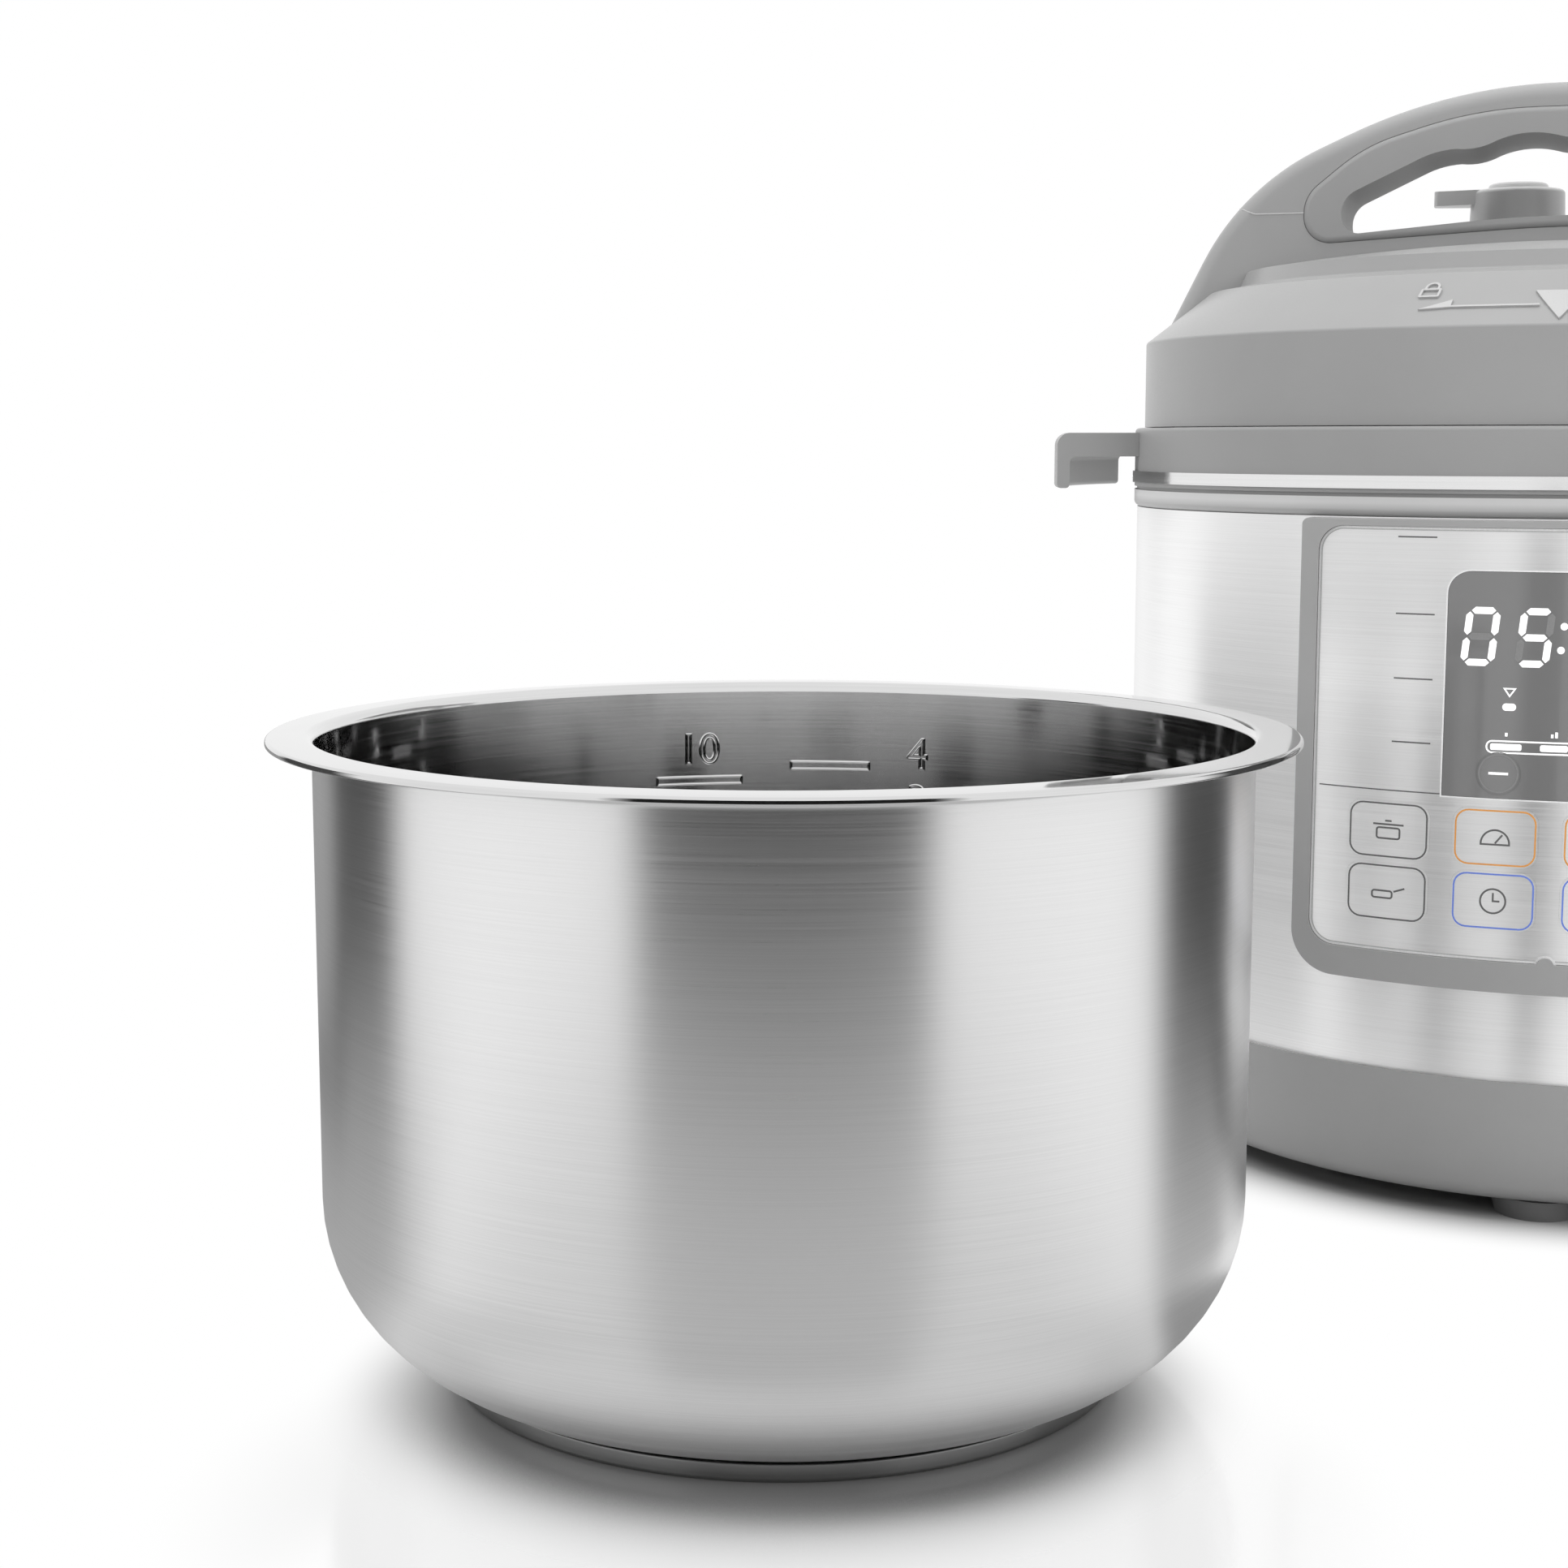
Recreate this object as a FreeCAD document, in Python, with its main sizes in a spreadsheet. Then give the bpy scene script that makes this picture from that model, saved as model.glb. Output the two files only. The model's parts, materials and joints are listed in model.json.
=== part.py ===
import FreeCAD, Part
import math
import os
import re
from collections import namedtuple

import Sketcher

# Electric pressure cooker with its inner pot standing in front of it, to the left.
# Millimetres, +Z up. The origin is on the floor, on the cooker's upright axis. The control panel
# faces -Y and +X is to the right of someone who faces the panel.

# Driving sizes, in millimetres, or degrees where the name says angle.
SIZES = {
    # Fits: between pieces that stay put, and between pieces that move past each other.
    "fit_gap": 0.1,
    "running_gap": 0.3,
    # How far a cut runs past the face that it opens.
    "cut_past": 1,
    # Rubber feet.
    "foot_height": 6,
    "foot_radius": 13,
    "foot_tip_radius": 11.5,
    "foot_inset": 16,
    # Plastic base pan.
    "base_height": 38,
    "base_step": 1,
    "base_taper": 12,
    "base_corner": 8,
    "base_wall": 3,
    "spigot_height": 6,
    "spigot_gap": 0.3,
    # Bottom cover, its vents and screws.
    "cover_foot_gap": 1,
    "cover_overlap": 8,
    "cover_thickness": 1.2,
    "vent_circle": 58,
    "vent_length": 26,
    "vent_width": 4,
    "screw_radius": 1.9,
    "screw_head_radius": 3.6,
    "screw_head_height": 1.6,
    # Steel outer shell.
    "shell_gap": 1.4,
    "shell_wall": 0.8,
    # Collar between shell and lid, with its bright ring.
    "collar_step": 1,
    "collar_height": 25,
    "collar_edge": 1.2,
    "collar_lip": 2.2,
    "trim_rise": 7.8,
    "trim_height": 3.6,
    "trim_depth": 0.8,
    "trim_proud": 0.7,
    "groove_drop": 1.2,
    "groove_height": 1,
    "groove_depth": 0.8,
    # Side carrying handles.
    "grip_reach": 26,
    "grip_angle": 34,
    "grip_thickness": 7.5,
    "grip_lip": 4,
    "grip_edge": 1.3,
    "grip_drop": 17.5,
    "grip_inset": 1.5,
    # Chamber that takes the pot.
    "chamber_rise": 4.8,
    "chamber_gap": 3.8,
    "chamber_wall": 1.2,
    "chamber_corner": 25,
    "trough_depth": 12.5,
    "flange_width": 2.0,
    "rim_drop": 3,
    # Bayonet of chamber and lid.
    "lug_thickness": 3,
    "lug_length": 4.4,
    "lug_angle": 26,
    "lug_gap": 1.5,
    "lug_side_gap": 1.7,
    "lug_lift": 2.5,
    # Heating plate, element, standoffs.
    "plate_margin": 0.5,
    "plate_thickness": 10,
    "plate_clearance": 8,
    "element_circle": 58,
    "element_radius": 4.4,
    "terminal_radius": 3.2,
    "terminal_spread": 12,
    "terminal_length": 22,
    "terminal_gap": 1,
    "standoff_radius": 5,
    "standoff_circle": 74,
    # Temperature sensor.
    "sensor_radius": 14,
    "sensor_height": 10.5,
    "sensor_wall": 1.2,
    "sensor_travel": 2.5,
    "bracket_radius": 12,
    "bracket_thickness": 1.5,
    "bracket_post_radius": 3.5,
    "bracket_post_height": 9,
    "spring_radius": 8,
    "spring_wire": 0.8,
    # Pressure switch and thermal fuse at the chamber.
    "switch_can_radius": 15,
    "switch_can_height": 12,
    "switch_can_x": -45,
    "switch_can_y": -12,
    "blade_width": 5,
    "blade_thickness": 0.8,
    "blade_length": 8,
    "blade_root": 1,
    "fuse_radius": 3.5,
    "fuse_length": 30,
    "fuse_z": 100,
    "fuse_angle": 200,
    # Power board.
    "board_thickness": 1.6,
    "power_board_length": 100,
    "power_board_width": 60,
    "power_board_y": 2,
    "board_post_radius": 2.5,
    "board_post_height": 10,
    "board_post_inset": 5,
    "transformer_length": 32,
    "transformer_width": 28,
    "transformer_height": 18,
    "relay_length": 20,
    "relay_width": 16,
    "relay_height": 15,
    # Power inlet.
    "inlet_width": 34,
    "inlet_height": 22,
    "inlet_rise": 4,
    "inlet_depth": 30,
    "inlet_rim": 4.5,
    "socket_depth": 18,
    "pin_radius": 1.8,
    "pin_length": 13,
    "pin_spread": 7,
    # Control panel.
    "panel_width": 140,
    "panel_height": 128.6,
    "panel_gap": 0.4,
    "panel_corner": 12,
    "panel_margin": 5,
    "frame_reach": 9,
    "frame_side": 5,
    "frame_top": 1.8,
    "frame_bottom": 8.5,
    "frame_inner_corner": 7,
    "frame_ledge": 2.5,
    "face_inset": 1,
    "face_thickness": 1.2,
    "display_width": 58,
    "display_drop": 13.6,
    "display_key_gap": 2.9,
    "display_corner": 6,
    "display_thickness": 1.6,
    # Keys.
    "key_width": 22.2,
    "key_height": 16,
    "key_corner": 4,
    "key_column_gap": 6.6,
    "key_row_gap": 1.5,
    "key_margin": 8.7,
    "key_thickness": 2.6,
    "key_proud": 0.2,
    "key_travel": 0.7,
    "key_stem_radius": 2.5,
    "key_stem_sink": 1.2,
    "round_key_radius": 5.6,
    "round_key_spread": 14.2,
    "round_key_lift": 6.8,
    # Control board behind the panel.
    "control_board_depth": 23,
    "control_board_side": 10,
    "control_board_margin": 2,
    "key_switch_size": 6,
    "key_switch_height": 3.5,
    "display_module_side": 3,
    "display_module_lift": 17.4,
    "display_module_depth": 12,
    "display_module_drop": 2,
    # Condensation cup at the back, and its rail.
    "cup_width": 62,
    "cup_depth": 26,
    "cup_height": 46,
    "cup_wall": 2,
    "cup_corner": 6,
    "cup_shell_gap": 2.5,
    "cup_flange": 3.5,
    "cup_flange_height": 2.2,
    "rail_wall": 3,
    "rail_head": 4,
    "rail_drop": 2,
    # Lid cover.
    "lid_gap": 0.3,
    "lid_inset": 3,
    "lid_wall": 3,
    "skirt_height": 26.7,
    "shoulder_run": 20,
    "shoulder_height": 15.5,
    "shoulder_edge": 1.2,
    "ledge_run": 9,
    "ledge_height": 1.5,
    "step_run": 2,
    "step_height": 5,
    "dome_height": 8,
    # Lid liner, gasket rack and sealing ring.
    "liner_wall": 1.2,
    "liner_rim_gap": 1.3,
    "liner_hat_inset": 19.3,
    "liner_hat_run": 3,
    "liner_hat_height": 16,
    "liner_dome_height": 8,
    "liner_bend": 2.5,
    "seal_gap": 0.4,
    "seal_height": 9.6,
    "seal_width": 12.8,
    "seal_lip": 3,
    "seal_back": 4.3,
    "seal_edge": 0.8,
    "rack_wire": 1.4,
    "rack_clip_radius": 1,
    "rack_gap": 1,
    # Bosses and screws that join cover and liner.
    "boss_circle": 80,
    "boss_radius": 5,
    "lid_screw_length": 13,
    # Steam release: pipe, filter and knob.
    "valve_x": -18.6,
    "valve_y": 46,
    "pipe_radius": 4.2,
    "pipe_bore": 1.5,
    "pipe_flange_radius": 9,
    "pipe_flange_height": 3.6,
    "pipe_rise": 14,
    "pipe_drop": 3.2,
    "filter_radius": 12,
    "filter_height": 10,
    "filter_wall": 1.2,
    "filter_slot": 3,
    "filter_crown": 3.6,
    "seat_radius": 18,
    "seat_height": 2.2,
    "knob_radius": 15.8,
    "knob_top_radius": 15,
    "knob_height": 21,
    "knob_edge": 1.5,
    "knob_cap_radius": 10,
    "knob_cap_height": 2.2,
    "lever_length": 27,
    "lever_tip_width": 8,
    "lever_tip_round": 2,
    "lever_root_width": 15,
    "lever_thickness": 4.8,
    # Float valve.
    "float_x": 22,
    "float_y": 46,
    "float_radius": 2.4,
    "float_head_radius": 3.6,
    "float_head_height": 1.2,
    "float_cap_radius": 5.2,
    "float_cap_height": 4,
    "float_foot_height": 1.5,
    "float_rise": 4,
    "guide_radius": 6.2,
    "guide_proud": 0.7,
    # Lid handle: arch, base and grip insert. Heights are above the top of the dome.
    "arch_width": 44,
    "arch_top": 48,
    "arch_crown_half": 39,
    "arch_knee_inset": 22.8,
    "arch_knee_height": 19.6,
    "arch_foot_inset": 8,
    "arch_foot_drop": 26,
    "arch_crown_flat": 6,
    "arch_knee_round": 75,
    "arch_edge": 5,
    "seam_inset": 4.6,
    "seam_height": 10.2,
    "seam_end_rise": 14,
    "seam_round": 8,
    "insert_proud": 1.2,
    "insert_half": 82.2,
    "insert_top": 40.5,
    "insert_crown_half": 30,
    "insert_crown_round": 120,
    "insert_bend_half": 64,
    "insert_bend_height": 30.3,
    "insert_bend_round": 50,
    "insert_knee_height": 15.5,
    "insert_knee_round": 11,
    "insert_floor_height": 0.2,
    "insert_floor_rise": 4.6,
    "insert_floor_round": 8.5,
    "insert_floor_bow": 400,
    "insert_edge": 2,
    "opening_half": 70.5,
    "opening_floor_height": 3,
    "opening_floor_rise": 6,
    "opening_floor_round": 5.5,
    "opening_floor_bow": 400,
    "opening_knee_height": 14.6,
    "opening_knee_round": 7.5,
    "scallop_height": 31.6,
    "scallop_pitch": 30,
    "scallop_bump": 12,
    "scallop_end_half": 46.5,
    "scallop_fall": 1,
    "scallop_far_fall": 3.2,
    "scallop_end_fall": 5.6,
    "scallop_bump_radius": 20,
    "scallop_dip_radius": 28,
    # Inner pot and where it stands.
    "pot_x": -175,
    "pot_y": -280,
    "pot_height": 154,
    "pot_radius": 110.4,
    "pot_wall": 0.8,
    "pot_corner": 42,
    "pot_flange": 10.6,
    "pot_rim_thickness": 1,
    "pot_lip_height": 1.6,
    "pot_lip_edge": 0.45,
    "pot_rim_slope": 0.3,
    "pot_rim_bend": 2.6,
    "pot_base_reach": 13.1,
    "pot_base_height": 3,
    "pot_cap_wall": 0.7,
    "pot_cap_height": 4.3,
    "pot_cap_corner": 1.2,
}

# Counts of repeated pieces.
FOOT_COUNT = 4
VENT_COUNT = 24
SCREW_COUNT = 4
LUG_COUNT = 6
STANDOFF_COUNT = 3
RACK_CLIP_COUNT = 6
FILTER_SLOT_COUNT = 6
SPRING_TURNS = 5
KEY_COLUMNS = 4

# Share of a slot's width that rounds its ends. A full half would leave the ends no straight part.
SLOT_ROUND = 0.49
# Distance below which two places count as one.
TOUCH = 0.01

# Levels, radii and distances that follow from the driving sizes.
FORMULAS = {
    "pan_floor": "foot_height + base_wall",
    "shell_z": "foot_height + base_height",
    "shell_bore": "flange_radius + shell_gap",
    "shell_radius": "shell_bore + shell_wall",
    "base_radius": "shell_radius + base_step",
    "base_bottom_radius": "base_radius - base_taper",
    "foot_circle": "base_bottom_radius - foot_inset",
    "spigot_radius": "shell_bore - fit_gap",
    "spigot_bore": "trough_outer + spigot_gap",
    "collar_radius": "shell_radius + collar_step",
    "collar_top": "rim_z + rim_drop",
    "collar_z": "collar_top - collar_height",
    "cover_radius": "foot_circle - foot_radius - cover_foot_gap",
    "cover_hole_radius": "cover_radius - cover_overlap",
    "cover_z": "foot_height - cover_thickness",
    "cover_screw_circle": "cover_radius - cover_overlap / 2",
    "screw_hole": "screw_radius + fit_gap",
    "trim_z": "collar_z + trim_rise",
    "trim_top": "trim_z + trim_height",
    "trim_bore": "collar_radius - trim_depth",
    "groove_top": "trim_z - groove_drop",
    "groove_z": "groove_top - groove_height",
    "groove_bore": "collar_radius - groove_depth",
    "grip_top": "collar_top - grip_inset",
    "grip_outer": "collar_radius + grip_reach",
    # Chamber and what stands in it.
    "chamber_bottom": "shell_z + chamber_rise",
    "chamber_floor": "chamber_bottom + chamber_wall",
    "plate_z": "chamber_floor + plate_clearance",
    "plate_radius": "pot_base_radius + plate_margin",
    "pot_seat": "plate_z + plate_thickness",
    "rim_z": "pot_seat + pot_height",
    "chamber_radius": "pot_radius + chamber_gap",
    "chamber_outer": "chamber_radius + chamber_wall",
    "trough_z": "rim_z - trough_depth",
    "trough_radius": "liner_radius + lug_side_gap + lug_length",
    "trough_outer": "trough_radius + chamber_wall",
    "flange_z": "lug_z + lug_thickness",
    "flange_top": "flange_z + chamber_wall",
    "flange_radius": "trough_outer + flange_width",
    "lid_lug_z": "trough_z + lug_lift",
    "lug_z": "lid_lug_z + lug_thickness + lug_gap",
    "element_groove": "element_radius + 2 * fit_gap",
    "terminal_y": "sqrt(element_circle ^ 2 - terminal_spread ^ 2)",
    "sensor_top": "pot_seat + sensor_travel",
    "spring_z": "chamber_floor + bracket_thickness + spring_wire + fit_gap",
    "spring_top": "sensor_top - sensor_wall - spring_wire - fit_gap",
    "fuse_circle": "chamber_outer + fuse_radius + 2 * fit_gap",
    # Boards and inlet.
    "power_board_z": "foot_height + board_post_height",
    "power_board_top": "power_board_z + board_thickness",
    "inlet_z": "pan_floor + inlet_rise",
    "inlet_back": "base_radius - base_wall / 2",
    "inlet_front": "inlet_back - inlet_depth",
    "socket_floor": "inlet_back - socket_depth",
    # Control panel, drawn looking along +Y.
    "panel_top": "collar_z - panel_gap",
    "panel_z": "panel_top - panel_height",
    "frame_radius": "shell_radius + frame_reach",
    "face_radius": "frame_radius - face_inset",
    "face_back": "face_radius - face_thickness",
    "key_face": "face_radius + key_proud",
    "key_back": "key_face - key_thickness",
    "key_pitch": "key_width + key_column_gap",
    "key_row_pitch": "key_height + key_row_gap",
    "key_row_rise": "frame_bottom + key_margin + key_height / 2",
    "display_rise": "key_row_rise + key_row_pitch + key_height / 2 + display_key_gap",
    "display_height": "panel_height - display_rise - display_drop",
    "round_key_rise": "display_rise + round_key_lift",
    "display_module_z": "panel_z + display_rise + display_module_lift",
    "display_module_height": "display_height - display_module_lift - display_module_drop",
    "display_module_width": "display_width - 2 * display_module_side",
    "control_board_width": "panel_width - 2 * control_board_side",
    "board_front": "face_back - control_board_depth + board_thickness",
    "switch_front": "board_front + key_switch_height",
    "stem_tip": "switch_front + key_travel + running_gap",
    "window_half": "control_board_width / 2 + control_board_margin",
    "window_z": "panel_z + frame_bottom",
    "window_top": "panel_top - frame_top - control_board_margin",
    "panel_low": "panel_z - panel_margin",
    "panel_high": "panel_top + panel_margin",
    "prism_front": "frame_radius + panel_margin",
    "prism_back": "sqrt(shell_radius ^ 2 - (panel_width / 2) ^ 2) - panel_margin",
    # Condensation cup and rail.
    "rail_top": "collar_z - rail_drop",
    "rail_half": "cup_width / 2 + cup_flange + rail_wall",
    "channel_top": "rail_top - rail_head",
    "cup_flange_z": "channel_top - running_gap - cup_flange_height",
    "channel_z": "cup_flange_z - running_gap",
    "rail_z": "channel_z - rail_wall",
    "cup_z": "cup_flange_z - cup_height",
    "cup_y": "shell_radius + cup_shell_gap",
    "rail_back": "cup_y + cup_depth",
    "rail_root": "sqrt(shell_radius ^ 2 - rail_half ^ 2) - cut_past",
    # Lid cover.
    "lid_z": "collar_top + lid_gap",
    "lid_radius": "collar_radius - lid_inset",
    "shoulder_z": "lid_z + skirt_height",
    "ledge_z": "shoulder_z + shoulder_height",
    "ledge_radius": "lid_radius - shoulder_run",
    "step_z": "ledge_z + ledge_height",
    "step_radius": "ledge_radius - ledge_run",
    "dome_z": "step_z + step_height",
    "dome_radius": "step_radius - step_run",
    "dome_top": "dome_z + dome_height",
    "dome_curve": "(dome_radius ^ 2 + dome_height ^ 2) / (2 * dome_height)",
    "hollow_radius": "dome_radius - lid_wall",
    "hollow_top": "dome_top - lid_wall",
    "hollow_curve": "(hollow_radius ^ 2 + dome_height ^ 2) / (2 * dome_height)",
    # Lid liner and sealing ring.
    "liner_bore": "pot_rim_radius + liner_rim_gap",
    "liner_radius": "liner_bore + liner_wall",
    "liner_hat_radius": "liner_bore - liner_hat_inset",
    "seal_z": "rim_z + seal_gap",
    "seal_top": "seal_z + seal_height",
    "seal_radius": "liner_bore - running_gap",
    "brim_z": "seal_top + running_gap",
    "brim_top": "brim_z + liner_wall",
    "liner_dome_radius": "liner_hat_radius - liner_hat_run",
    "liner_dome_z": "brim_top + liner_hat_height",
    "liner_top": "liner_dome_z + liner_dome_height",
    "liner_curve": "(liner_dome_radius ^ 2 + liner_dome_height ^ 2) / (2 * liner_dome_height)",
    "liner_under_radius": "liner_dome_radius - liner_wall",
    "liner_under_curve": "(liner_under_radius ^ 2 + liner_dome_height ^ 2) / (2 * liner_dome_height)",
    "rack_circle": "seal_radius - seal_width - rack_gap - rack_wire",
    "rack_z": "seal_z + seal_height / 2",
    # Steam release and float valve.
    "valve_reach": "sqrt(valve_x ^ 2 + valve_y ^ 2)",
    "float_reach": "sqrt(float_x ^ 2 + float_y ^ 2)",
    "pipe_hole": "pipe_radius + fit_gap",
    "filter_top": "pipe_flange_z - pipe_flange_height",
    "pipe_z": "filter_top - pipe_drop",
    "knob_z": "seat_top + running_gap",
    "knob_top": "knob_z + knob_height",
    "pipe_top": "seat_top + pipe_rise",
    "knob_bore": "pipe_radius + fit_gap",
    "guide_hole": "guide_radius + fit_gap",
    # Lid handle.
    "arch_crown": "dome_top + arch_top",
    "arch_knee": "dome_top + arch_knee_height",
    "arch_foot_half": "lid_radius - arch_foot_inset",
    "arch_knee_half": "arch_foot_half - arch_knee_inset",
    "arch_crown_slope": "atan((arch_crown - arch_knee) / (arch_knee_half - arch_crown_half))",
    "arch_crown_round": "(arch_crown_half - arch_crown_flat) / tan(arch_crown_slope / 2)",
    "seam_half": "arch_knee_half - seam_inset",
    "seam_z": "dome_top + seam_height",
    "insert_crown": "dome_top + insert_top",
    "insert_bend": "dome_top + insert_bend_height",
    "insert_knee": "dome_top + insert_knee_height",
    "insert_floor": "dome_top + insert_floor_height",
    "insert_floor_mid": "insert_floor + insert_floor_rise",
    "opening_floor": "dome_top + opening_floor_height",
    "opening_floor_mid": "opening_floor + opening_floor_rise",
    "opening_knee": "dome_top + opening_knee_height",
    "scallop_z": "dome_top + scallop_height",
    # Inner pot.
    "pot_bore": "pot_radius - pot_wall",
    "pot_rim_radius": "pot_radius + pot_flange",
    "pot_base_radius": "pot_radius - pot_corner + pot_base_reach",
    "pot_floor": "pot_base_height + pot_wall",
    "pot_under_rim": "pot_height - pot_rim_thickness",
    "pot_rim_edge": "pot_height - pot_rim_slope",
    "pot_core_radius": "pot_base_radius - pot_cap_wall - fit_gap",
}


def sag(curve, reach):
    """How far a dome of this curve has fallen at this distance from its axis."""
    return f"({curve} - sqrt({curve} ^ 2 - ({reach}) ^ 2))"


# Levels on the sloping domes, taken at the edge where a round piece meets them first.
FORMULAS["seat_top"] = f"dome_top - {sag('dome_curve', 'valve_reach')} + seat_height"
FORMULAS["pipe_flange_z"] = (
    f"liner_top - liner_wall - {sag('liner_under_curve', 'valve_reach + pipe_flange_radius')} - fit_gap")
FORMULAS["guide_z"] = f"liner_top - {sag('liner_curve', 'float_reach - guide_radius')} + fit_gap"
FORMULAS["guide_top"] = f"dome_top - {sag('dome_curve', 'float_reach - guide_radius')} + guide_proud"
FORMULAS["float_cap_top"] = (
    f"liner_top - liner_wall - {sag('liner_under_curve', 'float_reach + float_cap_radius')}"
    " - float_rise - running_gap")
FORMULAS["float_head_z"] = "guide_top + fit_gap"
FORMULAS["boss_z"] = f"liner_top - {sag('liner_curve', 'boss_circle - boss_radius')} + fit_gap"
FORMULAS["lid_screw_z"] = (
    f"liner_top - liner_wall - {sag('liner_under_curve', 'boss_circle + screw_head_radius')} - fit_gap")

WORD = re.compile(r"[a-z][a-z_0-9]*")
Corner = namedtuple("Corner", "x y round", defaults=(None,))
Arc = namedtuple("Arc", "radius left")

doc = FreeCAD.newDocument("pressure_cooker")
sheet = doc.addObject("Spreadsheet::Sheet", "Dims")
for row, (alias, number) in enumerate(SIZES.items(), start=1):
    sheet.set(f"A{row}", alias)
    sheet.set(f"B{row}", str(number))
    sheet.setAlias(f"B{row}", alias)
doc.recompute()

pieces = []


def linked(text):
    """Spell out a formula with references to the sheet."""
    def spelled(match):
        word = match.group()
        if word in SIZES:
            return f"Dims.{word}"
        if word in FORMULAS:
            return f"({linked(FORMULAS[word])})"
        return word
    return WORD.sub(spelled, str(text))


def value(text):
    """Work out a formula with the sheet's present numbers."""
    return float(sheet.evalExpression(linked(text)))


def bind(thing, **formulas):
    """Tie properties of an object to formulas of the sheet's sizes."""
    for name, text in formulas.items():
        thing.setExpression(name, linked(text))


def place(thing, x="0", y="0", z="0"):
    """Tie an object's position to formulas."""
    for axis, text in (("x", x), ("y", y), ("z", z)):
        thing.setExpression(f"Placement.Base.{axis}", linked(text))
    return thing


def piece(thing, label):
    """Name an object as a sub-part of the cooker."""
    thing.Label = label
    pieces.append(thing)
    return thing


def draw(sketch, outline):
    """Draw one closed outline in a sketch, with every corner tied to its formulas.

    The outline is a list of corners. Neighbours are joined by a line, or by an arc where an Arc
    stands between them. A corner with a round gets a tangent arc of that radius.
    """
    corners = [item for item in outline if isinstance(item, Corner)]
    curves = []
    for item in outline:
        if isinstance(item, Corner):
            curves.append(None)
        else:
            curves[-1] = item
    count = len(corners)
    spots = [FreeCAD.Vector(value(c.x), value(c.y), 0) for c in corners]
    entries, exits, rounds = list(spots), list(spots), [None] * count
    for i, item in enumerate(corners):
        if item.round is None:
            continue
        into = (spots[i] - spots[i - 1]).normalize()
        out = (spots[(i + 1) % count] - spots[i]).normalize()
        turn = math.atan2(into.cross(out).z, into.dot(out))
        radius = value(item.round)
        reach = radius * math.tan(abs(turn) / 2)
        entries[i] = spots[i] - into * reach
        exits[i] = spots[i] + out * reach
        side = math.copysign(1, turn)
        centre = entries[i] + FreeCAD.Vector(-into.y, into.x, 0) * radius * side
        rounds[i] = (centre, radius, turn > 0)

    def arc_between(start, end, centre, radius, left):
        first, last = (start, end) if left else (end, start)
        angles = [math.atan2(p.y - centre.y, p.x - centre.x) for p in (first, last)]
        circle = Part.Circle(centre, FreeCAD.Vector(0, 0, 1), radius)
        geo = sketch.addGeometry(Part.ArcOfCircle(circle, *angles))
        return (geo, 1, 2) if left else (geo, 2, 1)

    edges, ties, bound = [], [], []
    for i, item in enumerate(corners):
        if rounds[i]:
            edges.append((arc_between(entries[i], exits[i], *rounds[i]), i))
        start, end, curve = exits[i], entries[(i + 1) % count], curves[i]
        if curve is None:
            geo = sketch.addGeometry(Part.LineSegment(start, end))
            edges.append(((geo, 1, 2), None))
            continue
        radius = value(curve.radius)
        half = (end - start) * 0.5
        rise = math.sqrt(radius ** 2 - half.Length ** 2) * (1 if curve.left else -1)
        unit = FreeCAD.Vector(half).normalize()
        centre = start + half + FreeCAD.Vector(-unit.y, unit.x, 0) * rise
        edge = arc_between(start, end, centre, radius, curve.left)
        edges.append((edge, None))
        ties.append(Sketcher.Constraint("Radius", edge[0], radius))
        bound.append(curve.radius)
    for k, ((geo, _, end), corner_index) in enumerate(edges):
        (following, start, _), next_corner = edges[(k + 1) % len(edges)]
        kind = "Coincident" if corner_index is None and next_corner is None else "Tangent"
        ties.append(Sketcher.Constraint(kind, geo, end, following, start))
        bound.append(None)
    starts = {}
    for k, ((geo, start, _), corner_index) in enumerate(edges):
        if corner_index is not None:
            starts[corner_index] = k
    line = 0
    for i, item in enumerate(corners):
        if rounds[i]:
            k = starts[i]
            geo = sketch.addGeometry(Part.Point(spots[i]), True)
            ties.append(Sketcher.Constraint("PointOnObject", geo, 1, edges[k - 1][0][0]))
            ties.append(Sketcher.Constraint("PointOnObject", geo, 1, edges[k + 1][0][0]))
            ties.append(Sketcher.Constraint("Radius", edges[k][0][0], rounds[i][1]))
            bound.extend([None, None, item.round])
            spot = (geo, 1)
            line = k + 2
        else:
            spot = edges[line][0][:2]
            line += 1
        for kind, text, number in (("DistanceX", item.x, spots[i].x), ("DistanceY", item.y, spots[i].y)):
            ties.append(Sketcher.Constraint(kind, -1, 1, *spot, number))
            bound.append(text)
    first = sketch.ConstraintCount
    sketch.addConstraint(ties)
    for k, text in enumerate(bound):
        if text is not None:
            sketch.setExpression(f"Constraints[{first + k}]", linked(text))


def sketch_on(body, plane, outline, offset="0"):
    """A sketch of one outline on one of the body's origin planes, moved along the plane's normal."""
    support = next(o for o in body.Origin.OriginFeatures if o.Role == plane)
    sketch = body.newObject("Sketcher::SketchObject", f"{body.Name}_sketch")
    sketch.AttachmentSupport = (support, [""])
    sketch.MapMode = "FlatFace"
    sketch.setExpression("AttachmentOffset.Base.z", linked(offset))
    draw(sketch, outline)
    return sketch


def revolved(name, outline, angle=None):
    """A body turned about Z from an outline of radius and height, all round or over an angle."""
    body = doc.addObject("PartDesign::Body", name)
    sketch = sketch_on(body, "XZ_Plane", outline)
    turn = body.newObject("PartDesign::Revolution", f"{name}_turn")
    turn.Profile = sketch
    turn.ReferenceAxis = (sketch, ["V_Axis"])
    turn.Angle = 360
    if angle:
        turn.Midplane = True
        bind(turn, Angle=angle)
    return body


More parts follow.
